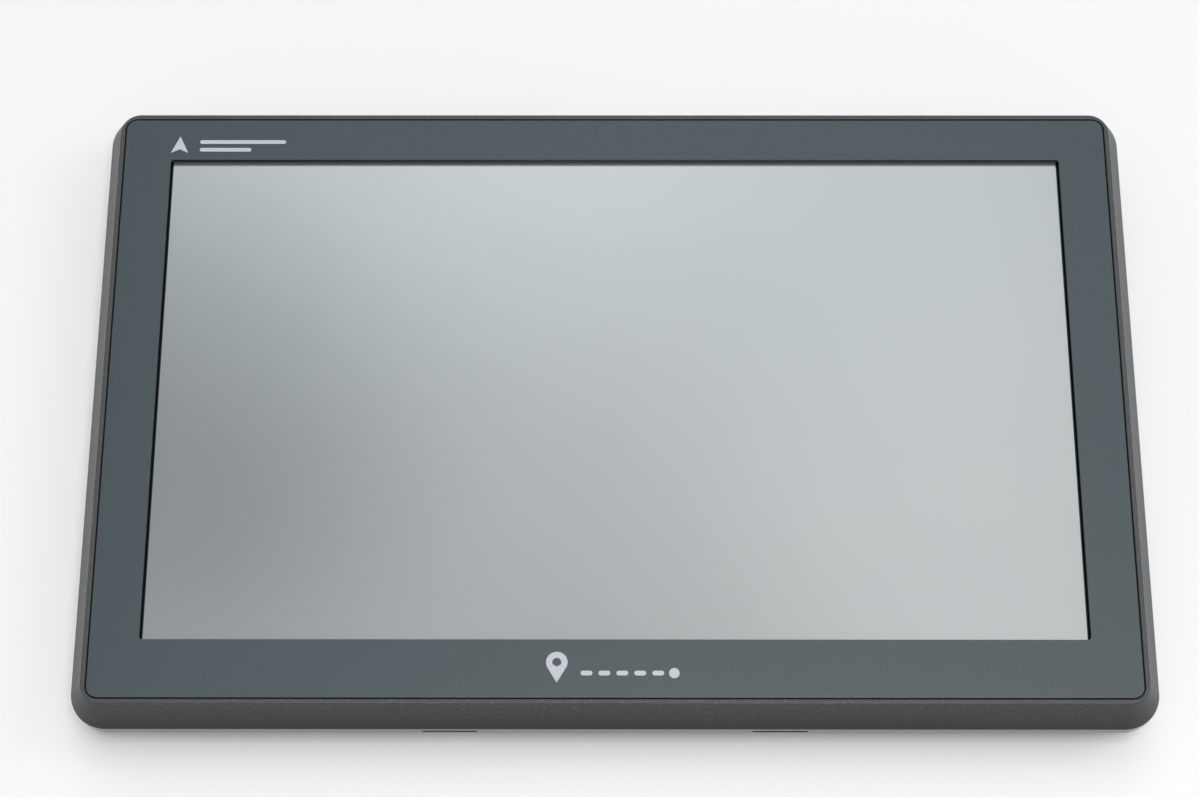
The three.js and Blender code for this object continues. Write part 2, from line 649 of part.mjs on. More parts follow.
/** Side-pressed switch at the board's top edge. */
function powerSwitch() {
  return join(
    boxBetween([-3, 38.6, 3.2], [3, 42.6, BOARD_Z - 0.1]),
    boxBetween([-1.1, 42.5, 4], [1.1, 43.1, 5.6]),
  );
}

/** Plunger with a collar, pressed through a hole in the rear face. */
function resetButton() {
  return join(post(1, 3.6, 0, 0, 0.6), post(2.2, 0.8, 0, 0, 2.2));
}

/** Card socket, open at its left end. */
function cardSocket() {
  const { left, length, width, thick, depth } = CARD_SOCKET;
  const bottom = BOARD_Z - 0.1 - thick;
  const body = box(length, width, thick, left + length / 2, CARD.y, bottom);
  const slot = boxBetween(
    [left - 1, CARD.y - CARD.width / 2 - CLEARANCE, CARD.z - CLEARANCE],
    [left + depth, CARD.y + CARD.width / 2 + CLEARANCE, CARD.z + CARD.thick + CLEARANCE],
  );
  return cut(body, slot);
}

/** Memory card with a notch in one long side. */
function memoryCard() {
  const { length, width, thick } = CARD;
  const blank = slab(length, width, 0.6, thick);
  const notch = box(3, 1.4, 2, length / 2 - 4.6, -width / 2, -0.5);
  return cut(blank, notch);
}

/** Metal socket shell with a contact tongue inside. */
function powerSocket() {
  const { width, height, length, wall } = POWER_SOCKET;
  const shell = slab(length, width, 0.5, height);
  const mouth = boxBetween(
    [-length / 2 + 1.5, -width / 2 + wall + 0.1, wall],
    [length / 2 + 1, width / 2 - wall - 0.1, height - wall],
  );
  const tongue = boxBetween([-length / 2 + 1, -2.6, 1.5], [length / 2 - 1.2, 2.6, 2.4]);
  return join(cut(shell, mouth), tongue);
}

/** Jack body with a round nose and a plug bore. */
function avJack() {
  const { width, height, length, nose, radius, bore } = AV_JACK;
  const body = boxBetween([-length, -width / 2, -height / 2], [-nose, width / 2, height / 2]);
  const collar = barrel(radius, -nose - 0.5, 0, 0, 0, ROUND_SIDES);
  return cut(join(body, collar), barrel(bore, -length + 1, 1));
}

add(navigator, 'power_key', 'cover', powerKey(), POWER_KEY.x, 0, POWER_KEY.z);
add(navigator, 'power_switch', 'steel', powerSwitch(), POWER_KEY.x);
add(navigator, 'reset_button', 'blackPlastic', resetButton(), RESET.x, RESET.y);
add(
  navigator, 'reset_switch', 'steel',
  join(box(3, 3, 1, 0, 0, BOARD_Z - 1.1), post(0.7, 0.5, 0, 0, BOARD_Z - 1.5)), RESET.x, RESET.y,
);
add(navigator, 'card_socket', 'steel', cardSocket());
add(
  navigator, 'memory_card', 'blackPlastic',
  memoryCard(), CARD.outer + CARD.length / 2, CARD.y, CARD.z,
);
add(
  navigator, 'power_socket', 'steel', powerSocket(),
  PORT_FACE - POWER_SOCKET.length / 2, POWER_SOCKET.y, POWER_SOCKET.z - POWER_SOCKET.height / 2,
);
add(navigator, 'av_jack', 'blackPlastic', avJack(), PORT_FACE, AV_JACK.y, AV_JACK.z);

// ---------------------------------------------------------------- rod antenna

/** Clearance hole for the hinge pin. */
function hingeHole() {
  const length = HINGE_PIN.length + 2;
  return post(HINGE_PIN.radius + CLEARANCE, length, 0, 0, -length / 2);
}

/** U-shaped bracket that holds the hinge pin, with a solder tab. */
function antennaBracket() {
  const { half, sheet, back, cheek, end, tab } = BRACKET;
  const plate = boxBetween([end, -back - 0.5, -half], [cheek, -back, half]);
  const cheeks = [-half, half - sheet].map((z) => join(
    boxBetween([-cheek, -half, z], [cheek, 0, z + sheet]),
    post(cheek, sheet, 0, 0, z, ROUND_SIDES),
  ));
  const solderTab = boxBetween([tab[0], -5.4, -0.5], [tab[1], -half, 0.5]);
  return cut(join(plate, ...cheeks, solderTab), hingeHole());
}

/** Turning joint piece with a spigot that carries the outermost tube. */
function antennaKnuckle() {
  const disc = post(2.3, 4.2, 0, 0, -2.1, ROUND_SIDES);
  const neck = boxBetween([-5, -1.6, -1.6], [0, 1.6, 1.6]);
  const spigot = barrel(1.65, -9, -4.9);
  return cut(join(disc, neck, spigot), hingeHole());
}

/** One section of the rod; the innermost is solid. */
function antennaSection(index) {
  const [near, far] = ROD_ENDS[index];
  const radius = ROD_RADII[index];
  const body = barrel(radius, -far, -near);
  const wall = ROD_WALLS[index];
  return wall ? cut(body, barrel(radius - wall, -far - 1, -near + 1)) : body;
}

/** End cap with a socket for the innermost section. */
function antennaTip() {
  const near = ROD.stowed - ROD.tip;
  const cap = barrel(ROD_RADII[0], -ROD.stowed, -near, 0, 0, ROUND_SIDES);
  const socket = barrel(ROD_RADII[3] + CLEARANCE, -near - ROD_SOCKET_LENGTH, -near + 1);
  return cut(cap, socket);
}

const antenna = group(navigator, ROD.x, ROD.y, ROD.z);
add(antenna, 'antenna_bracket', 'steel', antennaBracket());
add(
  antenna, 'antenna_pin', 'steel',
  post(HINGE_PIN.radius, HINGE_PIN.length, 0, 0, -HINGE_PIN.length / 2),
);
add(antenna, 'antenna_knuckle', 'blackPlastic', antennaKnuckle());
add(antenna, 'antenna_outer_tube', 'chrome', antennaSection(0));
add(antenna, 'antenna_second_tube', 'chrome', antennaSection(1));
add(antenna, 'antenna_third_tube', 'chrome', antennaSection(2));
add(antenna, 'antenna_inner_rod', 'chrome', antennaSection(3));
add(antenna, 'antenna_tip', 'blackPlastic', antennaTip());
add(
  navigator, 'antenna_lead', 'blackPlastic',
  lead([[70, 44.2, 4.8], [69, 42.5, 4.6], [60, 38.5, 4.2], [53, 36, 4.4], [49.4, 34, 4.6]], 0.55),
);

// ------------------------------------------------------------------ fasteners

/** Screw with a pan head at the bottom and a cross recess in the head. */
function screw(shankRadius, length, { radius, height }) {
  const head = post(radius, height, 0, 0, 0, ROUND_SIDES);
  const shank = post(shankRadius, length, 0, 0, height - 0.01);
  const slotWidth = radius * 0.32;
  const slotLength = radius * 1.2;
  const depth = height * 0.5;
  return cut(
    join(head, shank),
    box(slotLength, slotWidth, depth + 1, 0, 0, -1),
    box(slotWidth, slotLength, depth + 1, 0, 0, -1),
  );
}

/** Adds one screw at each place, with its head's underside at z. */
function addScrews(family, places, z, makeScrew) {
  places.forEach(([x, y], i) => {
    add(navigator, `${family}_${i + 1}`, 'screw', makeScrew(), x, y, z);
  });
}

addScrews('rear_screw', REAR_SCREWS, 0.6, () => screw(REAR_SCREW_RADIUS, 8.3, REAR_HEAD));
addScrews('chassis_screw', CHASSIS_SCREWS, 8.3, () => screw(SMALL_SCREW_RADIUS, 3.6, SMALL_HEAD));
addScrews('board_screw', BOARD_SCREWS, 5.2, () => screw(SMALL_SCREW_RADIUS, 3.8, SMALL_HEAD));

export default navigator;
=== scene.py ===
"""Looks of a portable GPS navigator that lies on its back on a pale table.

Sizes here are in millimetres and become metres where a mesh is made.
"""
import json
import math

import bpy
from mathutils import Matrix, Vector


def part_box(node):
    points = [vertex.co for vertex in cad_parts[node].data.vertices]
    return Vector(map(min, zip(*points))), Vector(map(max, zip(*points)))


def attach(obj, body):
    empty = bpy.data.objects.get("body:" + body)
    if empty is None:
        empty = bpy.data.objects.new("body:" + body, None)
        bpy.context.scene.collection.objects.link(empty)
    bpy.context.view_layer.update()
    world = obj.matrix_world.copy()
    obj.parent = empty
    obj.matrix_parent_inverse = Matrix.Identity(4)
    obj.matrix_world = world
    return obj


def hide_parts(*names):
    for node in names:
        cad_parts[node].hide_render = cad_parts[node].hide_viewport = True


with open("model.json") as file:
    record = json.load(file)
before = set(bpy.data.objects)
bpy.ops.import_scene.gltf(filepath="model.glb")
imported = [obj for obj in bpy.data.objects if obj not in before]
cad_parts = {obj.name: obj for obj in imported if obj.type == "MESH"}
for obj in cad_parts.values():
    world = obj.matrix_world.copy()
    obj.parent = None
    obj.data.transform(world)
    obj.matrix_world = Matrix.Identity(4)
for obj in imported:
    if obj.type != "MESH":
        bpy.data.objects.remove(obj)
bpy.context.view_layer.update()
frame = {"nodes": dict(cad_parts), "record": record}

MM = 0.001
CORNER_STEPS = 14
ROUND_SIDES = 48
SMALL_SIDES = 28

# Front frame
CORNER = 6.0
CHAMFER_RUN = 2.65
CHAMFER_DROP = 6.3
TOP_LEAN = 0.5
FRAME_WALL = 1.6
LEDGE = 1.2
LEDGE_INSET = 5.8
POLISHED_DEPTH = 0.4

# Face plate and screen
GROOVE = 0.2
PLATE_INSET = 3.6
PLATE_CORNER = 1.9
PLATE_SEAT_GAP = 0.1
WINDOW_WIDTH = 154.6
WINDOW_HEIGHT = 86.6
WINDOW_CORNER = 0.5
WINDOW_Y = 0.75
LIT_WIDTH = 153.9
LIT_HEIGHT = 86.6

# Rear cover
FLANGE_BOTTOM = 8.3
FLANGE_TOP = 9.4
FLANGE_INSET = 0.15
BODY_INSET = 3.2
REAR_INSET = 5.0
COVER_WALL = 1.8
RIM_INSET = 1.95
RIM_TOP = 10.8
SCREW_POST_RADIUS = 3.2
CHANNEL_FLOOR = 46.6
CHANNEL_BOTTOM = 1.5
CHANNEL_TOP = 8.1
CHANNEL_WALL = 1.2
HOOK_SLOT_X = 27.0
HOOK_SLOT_WIDTH = 9.0
HOOK_SLOT_DEPTH = 2.4
HOOK_SLOT_HEIGHT = 0.6
HOOK_NOTCH_DEPTH = 1.2
HOOK_NOTCH_HEIGHT = 0.7
LATCH_WIDTH = 14.0
SIDE_GAP = 0.3
KEY_CAP_WIDTH = 12.2
KEY_CAP_HEIGHT = 2.8
TAB_FROM_PIN = 8.0


def box(node):
    """Lowest and highest corner of a CAD node, in millimetres."""
    low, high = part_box(node)
    return low / MM, high / MM


def middle(node):
    low, high = box(node)
    return (low + high) / 2


FRAME_LOW, FRAME_HIGH = box("front_frame")
WIDTH = FRAME_HIGH.x - FRAME_LOW.x
HEIGHT = FRAME_HIGH.y - FRAME_LOW.y
TOP = FRAME_HIGH.z


# ---------------------------------------------------------------- materials


class Graph:
    """A material's nodes, with short calls to add and join them."""

    def __init__(self, name):
        self.material = bpy.data.materials.new(name)
        self.material.use_nodes = True
        self.tree = self.material.node_tree
        self.shader = self.tree.nodes["Principled BSDF"]
        self.place = self.add("ShaderNodeTexCoord").outputs["Object"]

    def add(self, kind, **values):
        node = self.tree.nodes.new(kind)
        for key, value in values.items():
            if key in node.inputs:
                node.inputs[key].default_value = value
            else:
                setattr(node, key, value)
        return node

    def join(self, source, target):
        self.tree.links.new(source, target)

    def set(self, **values):
        for key, value in values.items():
            self.shader.inputs[key.replace("_", " ")].default_value = value

    def noise(self, size, detail=3.0, stretch=(1, 1, 1), distortion=0.0):
        """Smooth noise whose blobs are about size millimetres across."""
        mapping = self.add("ShaderNodeMapping", vector_type="POINT")
        mapping.inputs["Scale"].default_value = stretch
        self.join(self.place, mapping.inputs["Vector"])
        noise = self.add("ShaderNodeTexNoise")
        noise.inputs["Scale"].default_value = 1 / (size * MM)
        noise.inputs["Detail"].default_value = detail
        noise.inputs["Distortion"].default_value = distortion
        self.join(mapping.outputs["Vector"], noise.inputs["Vector"])
        return noise.outputs["Fac"]

    def cells(self, size):
        """Distance from the middle of cells that are about size millimetres across."""
        texture = self.add("ShaderNodeTexVoronoi", feature="F1")
        texture.inputs["Scale"].default_value = 1 / (size * MM)
        self.join(self.place, texture.inputs["Vector"])
        return texture.outputs["Distance"]

    def bands(self, direction, pitch):
        """Waves across one direction, pitch millimetres apart."""
        texture = self.add("ShaderNodeTexWave", wave_type="BANDS", bands_direction=direction)
        texture.inputs["Scale"].default_value = 1 / (pitch * MM) / WAVE_REPEAT
        self.join(self.place, texture.inputs["Vector"])
        return texture.outputs["Fac"]

    def span(self, value, low, high, from_low=0.25, from_high=0.75):
        """Maps a value from one range to another."""
        node = self.add("ShaderNodeMapRange")
        node.inputs["From Min"].default_value = from_low
        node.inputs["From Max"].default_value = from_high
        node.inputs["To Min"].default_value = low
        node.inputs["To Max"].default_value = high
        self.join(value, node.inputs["Value"])
        return node.outputs["Result"]

    def math(self, operation, first, second):
        node = self.add("ShaderNodeMath", operation=operation)
        for socket, value in zip(node.inputs, (first, second)):
            if isinstance(value, (int, float)):
                socket.default_value = value
            else:
                self.join(value, socket)
        return node.outputs[0]

    def mix(self, share, first, second):
        """Blends two colours; each is a colour or a socket."""
        node = self.add("ShaderNodeMix", data_type="RGBA")
        colours = [s for s in node.inputs if s.type == "RGBA"]
        for socket, value in zip(colours, (first, second)):
            if isinstance(value, tuple):
                socket.default_value = (*value, 1.0)
            else:
                self.join(value, socket)
        self.join(share, node.inputs["Factor"])
        return next(s for s in node.outputs if s.type == "RGBA")

    def bump(self, height, depth, strength):
        """Bump of depth millimetres."""
        node = self.add("ShaderNodeBump")
        node.inputs["Strength"].default_value = strength
        node.inputs["Distance"].default_value = depth * MM
        self.join(height, node.inputs["Height"])
        return node.outputs["Normal"]

    def finish(self, colour=None, roughness=None, normal=None):
        for socket, value in (("Base Color", colour), ("Roughness", roughness), ("Normal", normal)):
            if value is not None:
                self.join(value, self.shader.inputs[socket])
        return self.material


CHARCOAL = (0.014, 0.014, 0.0147)
FACE_GREY = (0.013, 0.032, 0.040)
COVER_BLACK = (0.026, 0.027, 0.029)
# Painted shade for the wall of the screen's window
WINDOW_WALL_SHADE = (0.008, 0.008, 0.0085)
BORDER_BLACK = (0.012, 0.012, 0.013)
SCREEN_GREYS = ((0.290, 0.308, 0.313), (0.298, 0.315, 0.319))
BOARD_GREENS = ((0.012, 0.085, 0.035), (0.022, 0.15, 0.06))
PAD_TIN = (0.62, 0.6, 0.5)
LABEL_GREYS = ((0.40, 0.41, 0.42), (0.46, 0.47, 0.48))
LABEL_LINE = (0.06, 0.06, 0.065)

# How much lighter than the plastic the lip edge is (a painted highlight) and its scuffs are (wear)
LIP_HIGHLIGHT_TONE = 5.5
WEAR_TONE = 8.0

# A wave texture repeats this many times in one unit of its own scale
WAVE_REPEAT = 3.2


def shade(colour, factor):
    return tuple(min(1.0, c * factor) for c in colour)


def moulded(name, colour, roughness, grain, depth, mottle, highlit_and_worn=False, reflect=0.5):
    """Moulded plastic: sparked grain, faint mottling and, if asked, a lighter lip edge, which is a
    painted highlight, with scuffs there, which are wear.

    grain is the size of the texture and depth its height, both in millimetres.
    mottle is the share by which the tone wanders, and reflect the specular level.
    """
    g = Graph(name)
    g.set(Specular_IOR_Level=reflect)
    patches = g.noise(14, 2.0)
    fine = g.noise(grain, 2.0)
    specks = g.noise(grain * 2.3, 3.0)
    tone = g.mix(g.span(patches, 0, 1), shade(colour, 1 - mottle), shade(colour, 1 + mottle))
    tone = g.mix(g.span(specks, 0, 0.35), tone, shade(colour, 1.35))
    gloss = g.span(fine, roughness - 0.07, roughness + 0.09)
    if highlit_and_worn:
        edge = g.add("ShaderNodeAttribute", attribute_name="edge").outputs["Fac"]
        scuffs = g.span(g.noise(0.5, 5.0), 0, 1, 0.52, 0.7)
        wear = g.math("MULTIPLY", edge, scuffs)
        # Painted highlight: the whole band along the lip is lightened.
        tone = g.mix(edge, tone, shade(colour, LIP_HIGHLIGHT_TONE))
        tone = g.mix(wear, tone, shade(colour, WEAR_TONE))
    normal = g.bump(fine, depth, 0.5)
    return g.finish(tone, gloss, normal)


def screen_film(name):
    """Anti-glare touch film over an unlit screen, with a black border round the lit area."""
    g = Graph(name)
    split = g.add("ShaderNodeSeparateXYZ")
    g.join(g.place, split.inputs[0])
    centre = middle("touch_panel").y * MM
    across = g.math("ABSOLUTE", split.outputs["X"], 0)
    along = g.math("ABSOLUTE", g.math("SUBTRACT", split.outputs["Y"], centre), 0)
    outside = g.math(
        "MAXIMUM",
        g.math("GREATER_THAN", across, LIT_WIDTH / 2 * MM),
        g.math("GREATER_THAN", along, LIT_HEIGHT / 2 * MM),
    )
    haze = g.noise(26, 2.0)
    sparkle = g.noise(0.16, 1.0)
    lit = g.mix(g.span(haze, 0, 1), *SCREEN_GREYS)
    tone = g.mix(outside, lit, BORDER_BLACK)
    g.set(Metallic=0.7, IOR=1.5)
    gloss = g.span(sparkle, 0.15, 0.2)
    return g.finish(tone, gloss, g.bump(sparkle, 0.004, 0.25))


def foam(name, colour, cell=0.25):
    """Dense foam with cells a fraction of a millimetre across."""
    g = Graph(name)
    depth = g.cells(cell)
    tone = g.mix(g.span(depth, 0, 1, 0, 0.7), shade(colour, 0.6), shade(colour, 1.5))
    g.set(Roughness=0.95)
    return g.finish(tone, None, g.bump(depth, 0.05, 0.6))


def metal(name, colour, roughness, stretch=(1, 12, 12), size=2.5, metallic=1.0):
    """Rolled or drawn metal with fine lines along X and faint smudges."""
    g = Graph(name)
    lines = g.noise(size, 4.0, stretch)
    smudges = g.noise(7, 3.0, distortion=0.6)
    tone = g.mix(g.span(smudges, 0, 1), shade(colour, 0.86), shade(colour, 1.04))
    drawn = g.span(lines, roughness - 0.04, roughness + 0.06)
    rough = g.math("ADD", drawn, g.span(smudges, 0, 0.06))
    g.set(Metallic=metallic)
    return g.finish(tone, rough, g.bump(lines, 0.004, 0.35))


def circuit(name):
    """Green solder mask over copper traces, with plated pads."""
    g = Graph(name)
    traces = g.add("ShaderNodeTexBrick", offset=0.37, squash=1.0)
    traces.inputs["Scale"].default_value = 1 / (9 * MM)
    traces.inputs["Mortar Size"].default_value = 0.035
    traces.inputs["Brick Width"].default_value = 0.62
    traces.inputs["Row Height"].default_value = 0.11
    g.join(g.place, traces.inputs["Vector"])
    pad = g.math("LESS_THAN", g.cells(2.4), 0.16)
    mask = g.mix(traces.outputs["Fac"], *BOARD_GREENS)
    tone = g.mix(pad, mask, PAD_TIN)
    rough = g.math("SUBTRACT", g.span(g.noise(3), 0.32, 0.45), g.math("MULTIPLY", pad, 0.1))
    return g.finish(tone, rough, g.bump(traces.outputs["Fac"], 0.03, 0.5))


def film(name, colour, stripe=None):
    """Thin glossy film, with copper stripes along Y when stripe gives their pitch."""
    g = Graph(name)
    tone = g.mix(g.span(g.noise(5), 0, 1), shade(colour, 0.85), shade(colour, 1.12))
    rough = g.span(g.noise(1.2), 0.3, 0.45)
    normal = g.bump(g.noise(2.0), 0.02, 0.3)
    if stripe:
        copper = g.span(g.bands("X", stripe), 0, 1, 0.45, 0.55)
        tone = g.mix(copper, tone, shade(colour, 1.9))
    return g.finish(tone, rough, normal)


def woven(name, colour, pitch=0.35):
    """Fine square mesh cloth."""
    g = Graph(name)
    height = g.math("MAXIMUM", g.bands("X", pitch), g.bands("Y", pitch))
    tone = g.mix(height, shade(colour, 0.4), shade(colour, 1.8))
    g.set(Roughness=0.85)
    return g.finish(tone, None, g.bump(height, 0.08, 0.8))


def blank_label(name, border=1.2, line_width=0.15):
    """Satin film with a thin printed border and no text."""
    g = Graph(name)
    low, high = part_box("rating_label")
    split = g.add("ShaderNodeSeparateXYZ")
    g.join(g.place, split.inputs[0])
    inside = []
    for index, axis in enumerate("XY"):
        half = (high[index] - low[index]) / 2
        centre = (high[index] + low[index]) / 2
        away = g.math("ABSOLUTE", g.math("SUBTRACT", split.outputs[axis], centre), 0)
        inside.append(g.math("SUBTRACT", away, half - border * MM))
    gap = g.math("ABSOLUTE", g.math("MAXIMUM", *inside), 0)
    line = g.math("LESS_THAN", gap, line_width * MM)
    paper = g.mix(g.span(g.noise(4), 0, 1), *LABEL_GREYS)
    tone = g.mix(line, paper, LABEL_LINE)
    return g.finish(tone, g.span(g.noise(0.5), 0.42, 0.52), g.bump(g.noise(0.5), 0.01, 0.3))


# The numbers of a plastic are roughness, grain, depth and mottle; those of a metal
# are roughness, stretch of its lines, their size and how metallic it is.
MATERIALS = {
    # The frame's plastic has a painted highlight along its lip edge, and scuffs there.
    "frame_plastic": moulded("frame_plastic", CHARCOAL, 0.38, 0.22, 0.014, 0.06, True, 0.3),
    "face_plastic": moulded("face_plastic", FACE_GREY, 0.36, 0.28, 0.035, 0.05, reflect=0.66),
    "polished_band": moulded("polished_band", CHARCOAL, 0.14, 0.22, 0.003, 0.06, reflect=1.0),
    # The window's wall is painted near black as shade.
    "window_wall_shade": moulded("window_wall_shade", WINDOW_WALL_SHADE, 0.45, 0.22, 0.01, 0.1, reflect=0.12),
    "cover_plastic": moulded("cover_plastic", COVER_BLACK, 0.55, 0.5, 0.05, 0.08),
    "label_film": blank_label("label_film"),
    "black_foam": foam("black_foam", BORDER_BLACK),
    "touch_screen": screen_film("touch_screen"),
    "lcd_glass": film("lcd_glass", (0.05, 0.06, 0.062)),
    "white_plastic": moulded("white_plastic", (0.76, 0.76, 0.73), 0.45, 0.4, 0.01, 0.03),
    "clear_plastic": film("clear_plastic", (0.70, 0.74, 0.75)),
    "sheet_steel": metal("sheet_steel", (0.55, 0.56, 0.57), 0.33),
    "flex_film": film("flex_film", (0.36, 0.13, 0.025), stripe=0.5),
    "circuit_board": circuit("circuit_board"),
    "ceramic_block": moulded("ceramic_block", (0.62, 0.54, 0.42), 0.6, 0.35, 0.02, 0.06),
    "battery_wrap": metal("battery_wrap", (0.40, 0.41, 0.43), 0.42, (1, 1, 1), 1.4, 0.6),
    "black_plastic": moulded("black_plastic", (0.016, 0.016, 0.017), 0.38, 0.35, 0.015, 0.08),
    "mesh_cloth": woven("mesh_cloth", (0.02, 0.02, 0.021)),
    "speaker_paper": moulded("speaker_paper", (0.03, 0.03, 0.029), 0.85, 0.3, 0.06, 0.15),
    "card_plastic": moulded("card_plastic", (0.013, 0.013, 0.014), 0.3, 0.3, 0.006, 0.05),
    "chrome_tube": metal("chrome_tube", (0.78, 0.79, 0.80), 0.12, (1, 14, 14), 3.0),
    "mark_ink": moulded("mark_ink", (0.47, 0.49, 0.53), 0.5, 0.12, 0.002, 0.04),
    "black_screw": metal("black_screw", (0.05, 0.05, 0.052), 0.32, (1, 1, 1), 1.0, 0.9),
}


# ------------------------------------------------------------ mesh building


def outline(width, height, radius, x=0.0, y=0.0, z=0.0):
    """Points of a rounded rectangle, anticlockwise."""
    points = []
    for corner, (side_x, side_y) in enumerate(((1, 1), (-1, 1), (-1, -1), (1, -1))):
        for step in range(CORNER_STEPS + 1):
            angle = (corner + step / CORNER_STEPS) * math.pi / 2
            points.append((
                x + side_x * (width / 2 - radius) + radius * math.cos(angle),
                y + side_y * (height / 2 - radius) + radius * math.sin(angle),
                z,
            ))
    return points


def rounded(profile, radius, steps=4, closed=True):
    """A profile whose corners are arcs. radius is one value or one for each corner."""
    radii = [radius] * len(profile) if isinstance(radius, (int, float)) else radius
    result = []
    for i, (point, size) in enumerate(zip(profile, radii)):
        here = Vector(point)
        if size == 0 or (not closed and i in (0, len(profile) - 1)):
            result.append(tuple(here))
            continue
        before = Vector(profile[i - 1]) - here
        after = Vector(profile[(i + 1) % len(profile)]) - here
        half = before.angle(after) / 2
        longest = 0.48 * min(before.length, after.length)
        reach = min(size / math.tan(half), longest)
        start = here + before.normalized() * reach
        end = here + after.normalized() * reach
        for step in range(steps + 1):
            t = step / steps
            bend = start.lerp(here, t).lerp(here.lerp(end, t), t)
            result.append(tuple(bend))
    return result


def loft_data(rings, closed):
    """Vertices and faces of a surface through rings of equal length."""
    count = len(rings[0])
    faces = []
    pairs = len(rings) if closed else len(rings) - 1
    for r in range(pairs):
        here, above = r * count, ((r + 1) % len(rings)) * count
        for i in range(count):
            j = (i + 1) % count
            faces.append((here + i, here + j, above + j, above + i))
    if not closed:
        last = (len(rings) - 1) * count
        faces.append(tuple(reversed(range(count))))
        faces.append(tuple(range(last, last + count)))
    return [p for ring in rings for p in ring], faces


def make(name, data, matrix=None):
    """A mesh object from vertices in millimetres and faces."""
    vertices, faces = data
    mesh = bpy.data.meshes.new(name)
    mesh.from_pydata([Vector(v) * MM for v in vertices], [], faces)
    if matrix is not None:
        mesh.transform(matrix)
    mesh.validate()
    made = bpy.data.objects.new(name, mesh)
    bpy.context.scene.collection.objects.link(made)
    return made


def loft(name, rings, closed=False, matrix=None):
    return make(name, loft_data(rings, closed), matrix)


def lathe(name, profile, sides=ROUND_SIDES, matrix=None, closed=False):
    """Turns a profile of (radius, height) about Z."""
    rings = [
        [
            (r * math.cos(2 * math.pi * i / sides), r * math.sin(2 * math.pi * i / sides), z)
            for i in range(sides)
        ]
        for r, z in profile
    ]
    return loft(name, rings, closed, matrix)


def wall_profile(start, end, fillet):
    """An upright edge from one height to another, with both its corners rounded."""
    levels = [(2, start), (0, start), (0, end), (2, end)]
    return rounded(levels, fillet, 3, closed=False)[1:-1]


def slab(name, width, height, radius, low, high, x, y, edge=0.0, matrix=None):
    """A plate with rounded corners and softened upper and lower edges."""
    rings = [
        outline(width - 2 * inset, height - 2 * inset, max(radius - inset, 0.02), x, y, z)
        for inset, z in wall_profile(low, high, edge)
    ]
    return loft(name, rings, False, matrix)


def block(name, low, high, edge=0.0):
    """A block between two corners with softened upright and level edges."""
    size = Vector(high) - Vector(low)
    x, y = (low[0] + high[0]) / 2, (low[1] + high[1]) / 2
    return slab(name, size.x, size.y, max(edge, 0.02), low[2], high[2], x, y, edge)


def tool(low, high):
    """A plain cutting block between two corners."""
    return block("tool", low, high)


def at(x, y, z, axis="Z"):
    """Moves a shape made about the origin along Z to a place, with its Z along an axis."""
    turn = {
        "Z": Matrix.Identity(4),
        "X": Matrix.Rotation(math.pi / 2, 4, "Y"),
        "-X": Matrix.Rotation(-math.pi / 2, 4, "Y"),
        "Y": Matrix.Rotation(-math.pi / 2, 4, "X"),
    }[axis]
    return Matrix.Translation(Vector((x, y, z)) * MM) @ turn


def apply_modifiers(made):
    """Replaces a piece's mesh with what its modifiers make of it."""
    depsgraph = bpy.context.evaluated_depsgraph_get()
    mesh = bpy.data.meshes.new_from_object(made.evaluated_get(depsgraph))
    old = made.data
    made.modifiers.clear()
    made.data = mesh
    mesh.name = made.name
    bpy.data.meshes.remove(old)


def carve(target, shapes, operation="DIFFERENCE"):
    """Cuts closed shapes from a target, or adds them to it, and removes the shapes."""
    for shape in shapes:
        modifier = target.modifiers.new("carve", "BOOLEAN")
        modifier.operation = operation
        modifier.solver = "MANIFOLD"
        modifier.object = shape
    apply_modifiers(target)
    for shape in shapes:
        bpy.data.objects.remove(shape, do_unlink=True)


def refinish(made, material, chosen):
    """Gives another finish to the faces whose middles pass a test."""
    made.data.materials.append(MATERIALS[material])
    for polygon in made.data.polygons:
        if chosen(polygon.center / MM):
            polygon.material_index = len(made.data.materials) - 1


def settle_normals(made):
    """Lets the large flat faces decide the shading beside narrow fillets."""
    modifier = made.modifiers.new("normals", "WEIGHTED_NORMAL")
    modifier.mode = "FACE_AREA"
    modifier.weight = 50
    modifier.keep_sharp = True
    apply_modifiers(made)


def dress(made, material, body="housing", replaces=None, angle=32.0):
    """Gives a piece its finish, smooth shading and body, and hides the CAD node it stands for."""
    made.data.materials.clear()
    made.data.materials.append(MATERIALS[material])
    for polygon in made.data.polygons:
        polygon.use_smooth = True
    made.data.set_sharp_from_angle(angle=math.radians(angle))
    settle_normals(made)
    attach(made, body)
    if replaces:
        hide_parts(replaces)


# ------------------------------------------------------------- front of case


def inset_ring(inset, z, radius=None, lean=0.0):
    """The housing's outline, moved inwards by inset, with its top edge lean further in."""
    corner = max(CORNER - inset, 0.3) if radius is None else radius
    return outline(WIDTH - 2 * inset, HEIGHT - 2 * inset - lean, corner, 0, -lean / 2, z)


def inset_of(point):
    """How far inside the housing's outline a point lies."""
    x = abs(point.x) - (WIDTH / 2 - CORNER)
    y = abs(point.y) - (HEIGHT / 2 - CORNER)
    return CORNER - (math.hypot(x, y) if min(x, y) > 0 else max(x, y))


def mark_lip_highlight_and_wear(made, curve):
    """Stores how near each vertex is to the edge between the chamfer and the lip, where the frame's
    finish paints a highlight and shows scuffs.
    """
    peak, reach = 0.35, 0.8
    edge = made.data.attributes.new("edge", "FLOAT", "POINT")
    count = len(made.data.vertices) // len(curve)
    for n, (inset, z) in enumerate(curve):
        near = math.hypot(inset - CHAMFER_RUN - peak, z - TOP)
        value = max(0.0, 1 - near / reach)
        for i in range(count):
            edge.data[n * count + i].value = value


